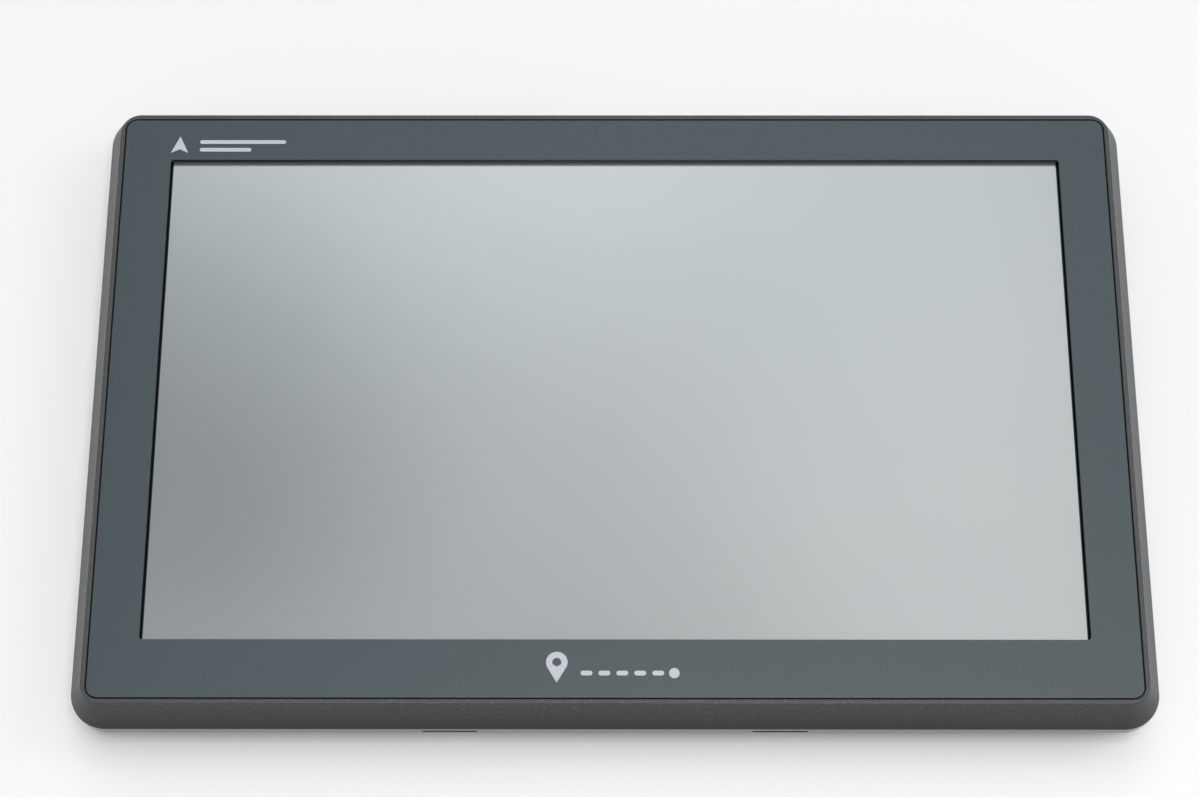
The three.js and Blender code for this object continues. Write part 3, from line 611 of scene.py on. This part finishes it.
def front_frame():
    """Chamfered ring whose corners tighten from the lip down to the plate's seat."""
    lip_end = PLATE_INSET - GROOVE
    foot = TOP - CHAMFER_DROP
    ledge = box("face_plate")[0].z - PLATE_SEAT_GAP
    slope = CHAMFER_RUN / CHAMFER_DROP
    inner = FRAME_WALL * math.hypot(1, slope)
    profile = [
        (0, FRAME_LOW.z), (0, foot), (CHAMFER_RUN, TOP), (lip_end, TOP),
        (lip_end, ledge), (LEDGE_INSET, ledge), (LEDGE_INSET, ledge - LEDGE),
        (inner + (ledge - LEDGE - foot) * slope, ledge - LEDGE),
        (FRAME_WALL, foot), (FRAME_WALL, FRAME_LOW.z),
    ]
    fillets = [0.15, 0.9, 0.22, 0.12, 0, 0.1, 0.1, 0, 0, 0.1]
    curve = rounded(profile, fillets, 5)
    rings = []
    for inset, z in curve:
        radius = max(CORNER - inset, 0.3)
        if CHAMFER_RUN < inset < lip_end + 0.01 and z > ledge - 0.01:
            share = min((inset - CHAMFER_RUN) / (lip_end - CHAMFER_RUN), 1)
            radius += share * (PLATE_CORNER + GROOVE - radius)
        rings.append(inset_ring(inset, z, radius, TOP_LEAN * min(inset / CHAMFER_RUN, 1)))
    made = loft("front_frame_shell", rings, closed=True)
    # Marks where the lip highlight is painted and where the scuffs fall.
    mark_lip_highlight_and_wear(made, curve)
    carve(made, [
        tool(
            (x - HOOK_SLOT_WIDTH / 2, FRAME_LOW.y - 1, FRAME_LOW.z - 1),
            (x + HOOK_SLOT_WIDTH / 2, FRAME_LOW.y + HOOK_NOTCH_DEPTH, FRAME_LOW.z + HOOK_NOTCH_HEIGHT),
        )
        for x in (-HOOK_SLOT_X, HOOK_SLOT_X)
    ])
    dress(made, "frame_plastic", replaces="front_frame")
    refinish(made, "polished_band", lambda p: p.z < foot - 0.1 and inset_of(p) < POLISHED_DEPTH)


def face_plate():
    """Plate round the screen; the wall of its window is painted darker than its face, as painted
    shade.
    """
    low, high = box("face_plate")
    rings = [
        inset_ring(PLATE_INSET + i, z, max(PLATE_CORNER - i, 0.3), TOP_LEAN)
        for i, z in wall_profile(low.z, high.z, 0.14)
    ] + [
        outline(WINDOW_WIDTH + 2 * i, WINDOW_HEIGHT + 2 * i, WINDOW_CORNER + i, 0, WINDOW_Y, z)
        for i, z in wall_profile(high.z, low.z, 0.1)
    ]
    made = loft("face_plate_panel", rings, closed=True)
    dress(made, "face_plastic", replaces="face_plate")

    def in_window(point):
        beside = abs(point.x) - WINDOW_WIDTH / 2
        beyond = abs(point.y - WINDOW_Y) - WINDOW_HEIGHT / 2
        return max(beside, beyond) < 0.4

    # The window's wall takes a painted shade.
    refinish(made, "window_wall_shade", lambda p: p.z < high.z - 0.06 and in_window(p))


def screen():
    """Touch panel with the unlit screen behind it."""
    low, high = box("touch_panel")
    size = high - low
    y = (low.y + high.y) / 2
    made = slab("touch_screen_panel", size.x, size.y, 0.8, low.z, high.z, 0, y, 0.12)
    dress(made, "touch_screen", replaces="touch_panel")


front_frame()
face_plate()
screen()


# ---------------------------------------------------------- printed pictures

PRINT_BOTTOM = TOP - 0.02
PRINT_TOP = TOP + 0.03

ROUTE_Y = -48.2
PIN = {"x": -9.4, "y": -46.4, "radius": 1.75, "tail": 3.4}
PIN_HOLE = 0.42
DASHES = {"count": 5, "first_x": -4.6, "pitch": 2.9, "length": 1.9, "height": 0.8}
ROUTE_END = {"x": 9.6, "size": 1.7}
ARROW = [(-77.4, 45.4), (-75.9, 46.1), (-74.4, 45.4), (-75.9, 48.6)]
BARS = {"start_x": -72.4, "height": 0.7, "lengths": ((47.5, 15.0), (46.0, 9.0))}


def append(data, more):
    """Adds the vertices and faces of one mesh to another's."""
    start = len(data[0])
    data[0].extend(more[0])
    data[1].extend(tuple(start + i for i in face) for face in more[1])


def print_flat(data, points):
    """Adds a thin solid with a flat outline."""
    levels = [[(p[0], p[1], z) for p in points] for z in (PRINT_BOTTOM, PRINT_TOP)]
    append(data, loft_data(levels, False))


def print_bar(data, length, height, x, y):
    """Adds a bar with almost round ends."""
    print_flat(data, outline(length, height, height / 2 - 0.01, x, y))


def pin_outline(x, y, radius, tail, steps=40):
    """A map pin: a circle that runs down to a point."""
    spread = math.acos(radius / tail)
    first = -math.pi / 2 + spread
    sweep = 2 * math.pi - 2 * spread
    angles = [first + sweep * i / steps for i in range(steps + 1)]
    arc = [(x + radius * math.cos(a), y + radius * math.sin(a)) for a in angles]
    return arc + [(x, y - tail)]


def print_pin(data):
    """Adds the map pin, which has a hole in its head."""
    x, y = PIN["x"], PIN["y"]
    outer = pin_outline(**PIN)
    inner = [(x + (px - x) * PIN_HOLE, y + (py - y) * PIN_HOLE) for px, py in outer[:-1]]
    inner.append((x, y - PIN["radius"] * PIN_HOLE))
    levels = [(outer, PRINT_BOTTOM), (outer, PRINT_TOP), (inner, PRINT_TOP), (inner, PRINT_BOTTOM)]
    append(data, loft_data([[(px, py, z) for px, py in points] for points, z in levels], True))


def route_mark():
    """A map pin and a dashed route that ends in a dot, below the screen."""
    data = ([], [])
    print_pin(data)
    for i in range(DASHES["count"]):
        x = DASHES["first_x"] + i * DASHES["pitch"]
        print_flat(data, outline(DASHES["length"], DASHES["height"], 0.38, x, ROUTE_Y))
    size = ROUTE_END["size"]
    print_bar(data, size, size, ROUTE_END["x"], ROUTE_Y)
    dress(make("route_mark", data), "mark_ink")


def heading_mark():
    """An arrow and two bars, above the screen."""
    data = ([], [])
    print_flat(data, ARROW)
    for y, length in BARS["lengths"]:
        print_bar(data, length, BARS["height"], BARS["start_x"] + length / 2, y)
    dress(make("heading_mark", data), "mark_ink")


route_mark()
heading_mark()


# ---------------------------------------------------------------- rear cover


def tiers(name, levels, fillets):
    """A solid through levels of (inset, z, corner radius), with softened edges."""
    curve = rounded(levels, fillets, 3, closed=False)[1:-1]
    return loft(name, [inset_ring(*level) for level in curve])


def opening(width, height, radius, depth, flare, x, y):
    """Cutting tool that enters the rear face and widens by flare at its mouth."""
    levels = [(-flare, -1), (-flare, 0), (0, flare), (0, depth)]
    rings = [outline(width - 2 * i, height - 2 * i, radius - i, x, y, z) for i, z in levels]
    return loft("tool", rings)


def cover_shell():
    """The cover's tray, hollow inside, with walls round the antenna's channel and screw posts."""
    bottom, top = FLANGE_BOTTOM, FLANGE_TOP
    outer = tiers("rear_cover_tray", [
        (9, 0, 4), (7, 0, 5), (5.6, 0.9, 6), (REAR_INSET, 2, 6.5), (BODY_INSET, bottom, 7),
        (FLANGE_INSET, bottom, 5.85), (FLANGE_INSET, top, 5.85),
        (RIM_INSET, top, 4.05), (RIM_INSET, RIM_TOP, 4.05), (3, RIM_TOP, 3),
    ], [0, 0.5, 0.9, 1.2, 0.25, 0.15, 0.15, 0, 0.2, 0])
    hollow = tiers("tool", [
        (9, COVER_WALL, 4), (7.4, COVER_WALL, 5), (6.9, 2.4, 5.5), (5.1, bottom - 0.3, 5.5),
        (5.1, top, 5.5), (3.2, top, 2.8), (3.2, RIM_TOP + 1, 2.8), (5, RIM_TOP + 1, 2.8),
    ], [0, 0.4, 0.4, 0.1, 0, 0, 0, 0])
    walls = tool(
        (-WIDTH / 2, CHANNEL_FLOOR - CHANNEL_WALL, 0.5), (WIDTH / 2, HEIGHT / 2, CHANNEL_TOP + 0.5),
    )
    copy = outer.copy()
    copy.data = outer.data.copy()
    bpy.context.scene.collection.objects.link(copy)
    carve(walls, [copy], "INTERSECT")
    carve(outer, [hollow])
    post = [
        (SCREW_POST_RADIUS + 0.2, COVER_WALL - 0.8), (SCREW_POST_RADIUS, COVER_WALL + 0.4),
        (SCREW_POST_RADIUS, top),
    ]
    posts = [lathe("tool", post, matrix=at(x, y, 0)) for x, y in REAR_SCREWS]
    carve(outer, [walls, *posts], "UNION")
    return outer


def mounting_cuts():
    """Two hook slots in the bottom edge and a latch slot in the top edge."""
    edge = HEIGHT / 2 - HOOK_SLOT_DEPTH
    outside = HEIGHT / 2 + 1
    low, high = FLANGE_TOP - HOOK_SLOT_HEIGHT, FLANGE_TOP + 0.02
    half = HOOK_SLOT_WIDTH / 2
    hooks = [
        tool((x - half, -outside, low), (x + half, -edge, high)) for x in (-HOOK_SLOT_X, HOOK_SLOT_X)
    ]
    return hooks + [tool((-LATCH_WIDTH / 2, edge, low), (LATCH_WIDTH / 2, outside, high))]


def hole_along_y(x, z, width, height, start, end):
    """Cutting tool from start to end along Y."""
    half_x, half_z = width / 2, height / 2
    return tool((x - half_x, start, z - half_z), (x + half_x, end, z + half_z))


def hole_along_x(node, start, end, gap_z=SIDE_GAP):
    """Cutting tool from start to end along X, with a gap all round a node."""
    low, high = box(node)
    return tool((start, low.y - SIDE_GAP, low.z - gap_z), (end, high.y + SIDE_GAP, high.z + gap_z))


def side_cuts():
    """The antenna's channel and the openings in the cover's sides."""
    floor = CHANNEL_FLOOR
    inside, outside = WIDTH / 2 - 9, WIDTH / 2 - 1
    key, jack, pin = middle("power_key"), middle("av_jack"), middle("antenna_pin")
    channel = slab(
        "tool", WIDTH + 4, CHANNEL_TOP - CHANNEL_BOTTOM, 0.35, floor, HEIGHT / 2 + 1,
        0, -(CHANNEL_BOTTOM + CHANNEL_TOP) / 2, matrix=Matrix.Rotation(-math.pi / 2, 4, "X"),
    )
    lead_hole = hole_along_y(pin.x - TAB_FROM_PIN, pin.z, 3.2, 1.8, floor - 2, floor + 1)
    key_hole = hole_along_y(
        key.x, key.z, KEY_CAP_WIDTH + 2 * SIDE_GAP, KEY_CAP_HEIGHT + 2 * SIDE_GAP,
        floor - 2, floor + 0.5,
    )
    card_slot = hole_along_x("memory_card", -outside, -inside)
    thumb_place = at(0.4 - WIDTH / 2, middle("memory_card").y, 0)
    thumb_cut = lathe("tool", [(4.6, 2.9), (4.6, 8.1)], matrix=thumb_place)
    power_hole = hole_along_x("power_socket", inside, outside, 0.25)
    jack_hole = lathe("tool", [(3.2, 0), (3.2, 8)], matrix=at(inside, jack.y, jack.z, "X"))
    return [channel, lead_hole, key_hole, card_slot, thumb_cut, power_hole, jack_hole]


def rear_face_cuts():
    """Cradle seat, label recess, reset hole, speaker slots, vents and screw wells."""
    cuts = [opening(64, 44, 5, 0.7, 0.25, 0, 4)]
    label = middle("rating_label")
    cuts.append(opening(58, 24, 2, 0.5, 0.15, label.x, label.y))
    reset = middle("reset_button")
    cuts.append(opening(2.6, 2.6, 1.29, 3, 0.2, reset.x, reset.y))
    grille = middle("speaker_frame")
    for i in range(-3, 4):
        cuts.append(opening(26, 1.1, 0.54, 2.5, 0.2, grille.x, grille.y + 2.4 * i))
    for i in range(6):
        cuts.append(opening(1.2, 13, 0.59, 2.5, 0.2, -63.5 + 3 * i, 30))
    for x, y in REAR_SCREWS:
        cuts.append(opening(5, 5, 2.49, 2, 0.3, x, y))
        cuts.append(lathe("tool", [(1.3, 1), (1.3, 12)], SMALL_SIDES, at(x, y, 0)))
    return cuts


def rear_cover():
    made = cover_shell()
    chassis_holes = [
        lathe("tool", [(1.75, 7.6), (1.75, 9.6)], SMALL_SIDES, at(middle(name).x, middle(name).y, 0))
        for name in frame["nodes"] if name.startswith("chassis_screw")
    ]
    carve(made, mounting_cuts() + side_cuts() + chassis_holes + rear_face_cuts())
    dress(made, "cover_plastic", replaces="rear_cover", angle=28)
    refinish(
        made, "polished_band",
        lambda p: FLANGE_BOTTOM < p.z < FLANGE_TOP and inset_of(p) < POLISHED_DEPTH,
    )


REAR_SCREWS = [
    (middle(f"rear_screw_{i}").x, middle(f"rear_screw_{i}").y) for i in range(1, 7)
]
rear_cover()


def blank_plate():
    """Rating label without any text."""
    low, high = box("rating_label")
    centre = (low + high) / 2
    made = slab(
        "blank_rating_film", high.x - low.x, high.y - low.y, 1.6, low.z, high.z,
        centre.x, centre.y, 0.06,
    )
    dress(made, "label_film", replaces="rating_label")


blank_plate()


# ------------------------------------------------------ controls and sockets


def power_key():
    """Ribbed cap on a wider flange that stays behind the wall."""
    low, high = box("power_key")
    x, z = (low.x + high.x) / 2, (low.z + high.z) / 2
    flange = 45.1
    turn = Matrix.Rotation(-math.pi / 2, 4, "X")
    cap = slab(
        "power_key_cap", KEY_CAP_WIDTH, KEY_CAP_HEIGHT, 0.7, flange - 0.1, high.y, x, -z, 0.25, turn,
    )
    foot = slab("tool", high.x - low.x, high.z - low.z, 0.4, low.y, flange, x, -z, 0.1, turn)
    carve(cap, [foot], "UNION")
    ribs = [
        lathe("tool", [(0.16, -0.95), (0.16, 0.95)], 16, at(x + 1.1 * i, high.y + 0.02, z))
        for i in range(-4, 5)
    ]
    carve(cap, ribs)
    dress(cap, "black_plastic", "power_key", "power_key")


def reset_button():
    """Pin with a collar that stops it from falling out."""
    low, high = box("reset_button")
    core, radius, collar = 0.5, 1, 2.2
    profile = [
        (core, low.z), (radius, low.z), (radius, 2.2), (collar, 2.2),
        (collar, 3), (radius, 3), (radius, high.z), (core, high.z),
    ]
    curve = rounded(profile, [0, 0.25, 0, 0.15, 0.15, 0, 0.1, 0], closed=False)
    centre = (low + high) / 2
    made = lathe("reset_plunger", curve, SMALL_SIDES, at(centre.x, centre.y, 0))
    dress(made, "black_plastic", "reset_button", "reset_button")


def memory_card():
    """Card with a notch in its side, a finger groove and eight contacts."""
    low, high = box("memory_card")
    size = high - low
    y = (low.y + high.y) / 2
    made = slab(
        "memory_card_body", size.x, size.y, 0.6, low.z, high.z, (low.x + high.x) / 2, y, 0.08,
    )
    notch_width, notch_depth = 3.0, 1.7
    notch = slab(
        "tool", notch_width, notch_depth, 0.3, low.z - 1, high.z + 1,
        high.x - 4.6, low.y + 0.7 - notch_depth / 2,
    )
    grip = lathe("tool", [(0.3, -4), (0.3, 4)], 20, at(low.x + 1.1, y, high.z + 0.16, "Y"))
    contacts = []
    for i in range(8):
        start = low.y + 1.0 + 1.15 * i
        contacts.append(tool(
            (high.x - 3.6, start, low.z - 1), (high.x - 0.6, start + 0.85, low.z + 0.05),
        ))
    carve(made, [notch, grip, *contacts])
    dress(made, "card_plastic", "memory_card", "memory_card")


def power_socket():
    """Steel shell round a tongue with five contacts."""
    low, high = box("power_socket")
    centre = (low + high) / 2
    size = high - low
    turn = at(0, centre.y, centre.z, "X")
    shell = slab("power_socket_shell", size.z, size.y, 0.9, low.x, high.x, 0, 0, 0.12, turn)
    mouth = [(-0.15, high.x + 1), (-0.15, high.x), (0, high.x - 0.15), (0, low.x + 1.5)]
    rings = [outline(2.7 - 2 * i, 7.8 - 2 * i, 0.6 - i, 0, 0, z) for i, z in reversed(mouth)]
    carve(shell, [loft("tool", rings, False, turn)])
    tongue = block(
        "tool", (low.x + 1, centre.y - 2.6, low.z + 1.5), (high.x - 1.2, centre.y + 2.6, low.z + 2.4),
        0.15,
    )
    carve(shell, [tongue], "UNION")
    ribs = [
        tool(
            (low.x + 2, centre.y - 2.2 + 1.0 * i, low.z + 2.36),
            (high.x - 1.6, centre.y - 1.7 + 1.0 * i, low.z + 2.46),
        )
        for i in range(5)
    ]
    carve(shell, ribs, "UNION")
    dress(shell, "sheet_steel", replaces="power_socket")


def av_jack():
    """Round socket in a square body."""
    low, high = box("av_jack")
    centre = (low + high) / 2
    length = high.x - low.x
    turn = at(high.x, centre.y, centre.z, "-X")
    body = slab("av_jack_body", high.z - low.z, high.y - low.y, 0.5, 3, length, 0, 0, 0.15, turn)
    profile = rounded([(1, 0), (2.8, 0), (2.8, 3.5), (1, 3.5)], [0, 0.35, 0, 0], closed=False)
    carve(body, [lathe("tool", profile, matrix=turn)], "UNION")
    mouth = [(2.2, -1), (2.2, 0), (1.8, 0.4), (1.8, length - 1)]
    bore = rounded(mouth, [0, 0, 0.3, 0], closed=False)
    carve(body, [lathe("tool", bore, matrix=turn)])
    dress(body, "black_plastic", replaces="av_jack")


power_key()
reset_button()
memory_card()
power_socket()
av_jack()


# --------------------------------------------------------------- rod antenna

HINGE = middle("antenna_pin")
PIN_HOLE_RADIUS = 1.12
CHEEK_RADIUS = 2.8
BRACKET_SHEET = 0.6
TUBES = [
    ("antenna_outer_tube", "antenna_sleeve_1", "antenna_arm", 0.35),
    ("antenna_second_tube", "antenna_sleeve_2", "antenna_second", 0.3),
    ("antenna_third_tube", "antenna_sleeve_3", "antenna_third", 0.3),
]


def rod_place(x=None):
    """On the rod's axis, with the shape's own Z towards the tip."""
    return at(HINGE.x if x is None else x, HINGE.y, HINGE.z, "-X")


def length_and_radius(node):
    """Size of a round node that lies along X."""
    low, high = box(node)
    return high.x - low.x, (high.z - low.z) / 2


def antenna_tube(node, name, body, wall):
    """Tube with a groove rolled in near its tip end."""
    length, radius = length_and_radius(node)
    groove = radius - 0.12
    profile = [
        (radius, 0), (radius, length - 1.5), (groove, length - 1.3), (groove, length - 0.9),
        (radius, length - 0.7), (radius, length), (radius - wall, length), (radius - wall, 0),
    ]
    curve = rounded(profile, [0.1, 0.1, 0.1, 0.1, 0.1, 0.16, 0.1, 0.1], 3)
    made = lathe(name, curve, matrix=rod_place(box(node)[1].x), closed=True)
    dress(made, "chrome_tube", body, node)


def antenna_core():
    """The solid innermost section."""
    length, radius = length_and_radius("antenna_inner_rod")
    profile = [(0.1, 0), (radius, 0), (radius, length), (0.1, length)]
    curve = rounded(profile, [0, 0.15, 0.1, 0], closed=False)
    place = rod_place(box("antenna_inner_rod")[1].x)
    made = lathe("antenna_core_rod", curve, SMALL_SIDES, place)
    dress(made, "chrome_tube", "antenna_end", "antenna_inner_rod")


def antenna_tip():
    """Plastic cap with three grip grooves."""
    length, radius = length_and_radius("antenna_tip")
    hole = length_and_radius("antenna_inner_rod")[1] + 0.15
    profile = [(hole, 3), (hole, 0), (radius - 0.2, 0), (radius, 0.3)]
    for groove in (1.4, 2.2, 3.0):
        profile += [(radius, groove - 0.22), (radius - 0.22, groove), (radius, groove + 0.22)]
    profile += [(radius, length - 0.4), (radius - 1.1, length), (0.2, length)]
    radii = [0, 0.1, 0.1, 0.1] + [0.05] * 9 + [0.8, 0.5, 0]
    curve = rounded(profile, radii, 3, closed=False)
    made = lathe("antenna_tip_cap", curve, matrix=rod_place(box("antenna_tip")[1].x))
    dress(made, "black_plastic", "antenna_end", "antenna_tip")


def disc_profile(radius, low, high, fillet):
    """Half section of a disc with rounded rims."""
    corners = [(0.5, low), (radius, low), (radius, high), (0.5, high)]
    return rounded(corners, [0, fillet, fillet, 0], closed=False)


def pin_hole(low, high, matrix):
    return lathe("tool", [(PIN_HOLE_RADIUS, low), (PIN_HOLE_RADIUS, high)], matrix=matrix)


def antenna_knuckle():
    """Disc that turns on the pin, with a neck and a spigot for the outermost tube."""
    low, high = box("antenna_knuckle")
    half = (high.z - low.z) / 2
    curve = disc_profile(high.x - HINGE.x, -half, half, 0.3)
    disc = lathe("antenna_knuckle_joint", curve, matrix=at(*HINGE))
    neck = slab("tool", 3.2, 3.2, 0.5, 0.5, 5, 0, 0, 0.15, rod_place())
    spigot = lathe("tool", [(1.65, 4.5), (1.65, HINGE.x - low.x)], matrix=rod_place())
    carve(disc, [neck, spigot], "UNION")
    carve(disc, [pin_hole(-half - 1, half + 1, at(*HINGE))])
    dress(disc, "black_plastic", "antenna_arm", "antenna_knuckle")


def antenna_pin():
    """Rivet with rounded ends."""
    low, high = box("antenna_pin")
    half = (high.z - low.z) / 2
    profile = [
        (0.3, -half), (0.8, -half), (1.0, -half + 0.25), (1.0, half - 0.25), (0.8, half), (0.3, half),
    ]
    made = lathe("antenna_hinge_rivet", rounded(profile, 0.1, closed=False), SMALL_SIDES, at(*HINGE))
    dress(made, "sheet_steel", replaces="antenna_pin")


def antenna_bracket():
    """Back plate with two round cheeks that hold the pin, and a solder tab."""
    low, high = box("antenna_bracket")
    x, y, z = HINGE
    back = y - 3.25
    plate = block("antenna_bracket_sheet", (low.x, back, low.z), (high.x, back + 0.5, high.z), 0.12)
    parts = []
    for under in (low.z, high.z - BRACKET_SHEET):
        over = under + BRACKET_SHEET
        arm = ((x - CHEEK_RADIUS, back + 0.2, under), (x + CHEEK_RADIUS, y, over))
        parts.append(block("tool", *arm, 0.1))
        cheek = disc_profile(CHEEK_RADIUS, under, over, 0.12)
        parts.append(lathe("tool", cheek, matrix=at(x, y, 0)))
    tab_x = x - TAB_FROM_PIN
    tab = ((tab_x - 1.2, low.y, z - 0.5), (tab_x + 1.2, back + 0.2, z + 0.5))
    parts.append(block("tool", *tab, 0.1))
    carve(plate, parts, "UNION")
    carve(plate, [pin_hole(-1, 12, at(x, y, 0))])
    dress(plate, "sheet_steel", replaces="antenna_bracket")


for tube in TUBES:
    antenna_tube(*tube)
antenna_core()
antenna_tip()
antenna_knuckle()
antenna_pin()
antenna_bracket()


# -------------------------------------------------------------------- screws


PITCH = 0.7
THREAD_DEPTH = 0.16


def cross_recess(centre, head, low, depth):
    """Two tapered slots across each other, as tools that cut a screw's head."""
    wide, thin = head * 1.15, head * 0.26
    levels = ((1.1, low - 0.5), (1.0, low), (0.55, low + depth))
    return [
        loft("tool", [
            outline(long * s, short * s, thin * 0.3 * s, centre.x, centre.y, z) for s, z in levels
        ])
        for long, short in ((wide, thin), (thin, wide))
    ]


def screw(node, shank_radius, head_height):
    """Pan-head screw whose thread is a stack of ridges."""
    low, high = box(node)
    centre = (low + high) / 2
    head = (high.x - low.x) / 2
    foot = low.z + head_height
    profile = [
        (0.2, low.z), (head * 0.72, low.z), (head, low.z + head_height * 0.55), (head, foot),
        (shank_radius, foot),
    ]
    radii = [0, head * 0.4, 0.2, 0.05, 0]
    turns = int((high.z - foot - 0.6) / PITCH)
    for i in range(turns):
        z = foot + 0.4 + PITCH * i
        profile += [(shank_radius - THREAD_DEPTH, z), (shank_radius, z + PITCH / 2)]
    profile += [(shank_radius - THREAD_DEPTH, high.z - 0.1), (0.3, high.z)]
    radii += [0] * (2 * turns + 2)
    curve = rounded(profile, radii, closed=False)
    made = lathe(f"{node}_threaded", curve, SMALL_SIDES, at(centre.x, centre.y, 0))
    carve(made, cross_recess(centre, head, low.z, head_height * 0.6))
    dress(made, "black_screw", replaces=node)


for node_name in list(frame["nodes"]):
    if node_name.startswith("rear_screw"):
        screw(node_name, 1.0, 1.3)
    elif "_screw_" in node_name:
        screw(node_name, 0.7, 1.1)


# ----------------------------------------------------- floor, light, camera


def stage():
    """A pale table top, twelve metres wide."""
    half = 6.0
    mesh = bpy.data.meshes.new("table")
    corners = [(-half, -half, 0), (half, -half, 0), (half, half, 0), (-half, half, 0)]
    mesh.from_pydata(corners, [], [(0, 1, 2, 3)])
    table = bpy.data.objects.new("table", mesh)
    bpy.context.scene.collection.objects.link(table)
    g = Graph("pale_table")
    cloud = g.noise(90, 2.0)
    tone = g.mix(g.span(cloud, 0, 1), (0.885, 0.892, 0.891), (0.9, 0.906, 0.904))
    g.set(Roughness=0.5)
    mesh.materials.append(g.finish(tone))


def area_light(name, place, side, power):
    """A square lamp at a place in metres, aimed at the object."""
    data = bpy.data.lights.new(name, "AREA")
    data.shape = "RECTANGLE"
    data.size, data.size_y = side, side
    data.energy = power
    light = bpy.data.objects.new(name, data)
    light.location = place
    light.rotation_euler = (-Vector(place)).to_track_quat("-Z", "Y").to_euler()
    bpy.context.scene.collection.objects.link(light)


# Soft patches of the room: azimuth, elevation, inner and outer angle, strength, colour.
# A negative strength is a darker patch. Azimuth 0 is behind the object's top edge and 90
# is to its right. Between its inner and outer angle a patch fades away.
SKY = (0.36, 0.3636, 0.3654)
ROOM = [
    (0, 69, 12, 26, 1.30, (1.0, 1.0, 1.0)),
    (0, -90, 90, 105, 0.52, (1.0, 1.0, 1.0)),
    (10, 60, 2, 9, 0.60, (0.90, 1.0, 1.10)),
    (-9, 60, 2, 9, 0.95, (0.90, 1.0, 1.10)),
    (19, 68, 1, 6, 0.72, (1.01, 1.03, 0.96)),
    (-25, 67, 1, 7, -1.15, (1.0, 0.97, 0.95)),
    (-31, 72, 1, 7, -0.35, (1.0, 0.98, 0.97)),
    (0, 76, 1, 6, -0.50, (1.0, 0.99, 0.99)),
    (14, 66.4, 0.5, 4.5, -0.35, (1.0, 0.99, 0.98)),
    (60, 78, 1, 9, 2.20, (1.0, 1.0, 1.0)),
]


def room():
    """Even grey surroundings plus the patches."""
    world = bpy.data.worlds.new("room")
    world.use_nodes = True
    bpy.context.scene.world = world
    tree = world.node_tree
    background = tree.nodes["Background"]
    direction = tree.nodes.new("ShaderNodeTexCoord").outputs["Generated"]
    total = None
    for azimuth, elevation, inner, outer, strength, colour in ROOM:
        a, e = math.radians(azimuth), math.radians(elevation)
        dot = tree.nodes.new("ShaderNodeVectorMath")
        dot.operation = "DOT_PRODUCT"
        dot.inputs[1].default_value = (
            math.sin(a) * math.cos(e), math.cos(a) * math.cos(e), math.sin(e),
        )
        tree.links.new(direction, dot.inputs[0])
        patch = tree.nodes.new("ShaderNodeMapRange")
        patch.interpolation_type = "SMOOTHSTEP"
        patch.inputs["From Min"].default_value = math.cos(math.radians(outer))
        patch.inputs["From Max"].default_value = math.cos(math.radians(inner))
        patch.inputs["To Max"].default_value = strength
        tree.links.new(dot.outputs["Value"], patch.inputs["Value"])
        tint = tree.nodes.new("ShaderNodeVectorMath")
        tint.operation = "SCALE"
        tint.inputs[0].default_value = colour
        tree.links.new(patch.outputs["Result"], tint.inputs["Scale"])
        add = tree.nodes.new("ShaderNodeVectorMath")
        add.operation = "ADD"
        tree.links.new(tint.outputs["Vector"], add.inputs[0])
        if total is None:
            add.inputs[1].default_value = SKY
        else:
            tree.links.new(total, add.inputs[1])
        total = add.outputs["Vector"]
    tree.links.new(total, background.inputs["Color"])


CAMERA_PLACE = Vector((-1.4, -162.5, 432.1))
CAMERA_FORWARD = Vector((-0.0026, 0.3638, -0.9315))
CAMERA_UP = Vector((-0.0005, 0.9315, 0.3638))


def camera():
    """Looks down on the screen from in front of the bottom edge."""
    data = bpy.data.cameras.new("camera")
    data.sensor_width = 36.0
    data.lens = 79.5
    data.clip_start = 0.01
    data.clip_end = 50.0
    made = bpy.data.objects.new("camera", data)
    forward = CAMERA_FORWARD.normalized()
    right = forward.cross(CAMERA_UP).normalized()
    upward = right.cross(forward)
    turn = Matrix((right, upward, -forward)).transposed().to_4x4()
    made.matrix_world = Matrix.Translation(CAMERA_PLACE * MM) @ turn
    bpy.context.scene.collection.objects.link(made)
    bpy.context.scene.camera = made


stage()
room()
area_light("overhead", (0.06, -0.26, 1.08), 0.4, 6.0)
area_light("side", (0.80, 0.10, 1.0), 0.45, 1.6)
camera()
bpy.context.scene.view_settings.view_transform = "Standard"

# The nodes that are shown as they are take the finish that the record gives them.
FINISHES = {part["node"]: part["material_slot"] for part in frame["record"]["subparts"]}
for node_name, node in frame["nodes"].items():
    if not node.hide_render:
        for material_slot in node.material_slots:
            material_slot.material = MATERIALS[FINISHES[node_name]]
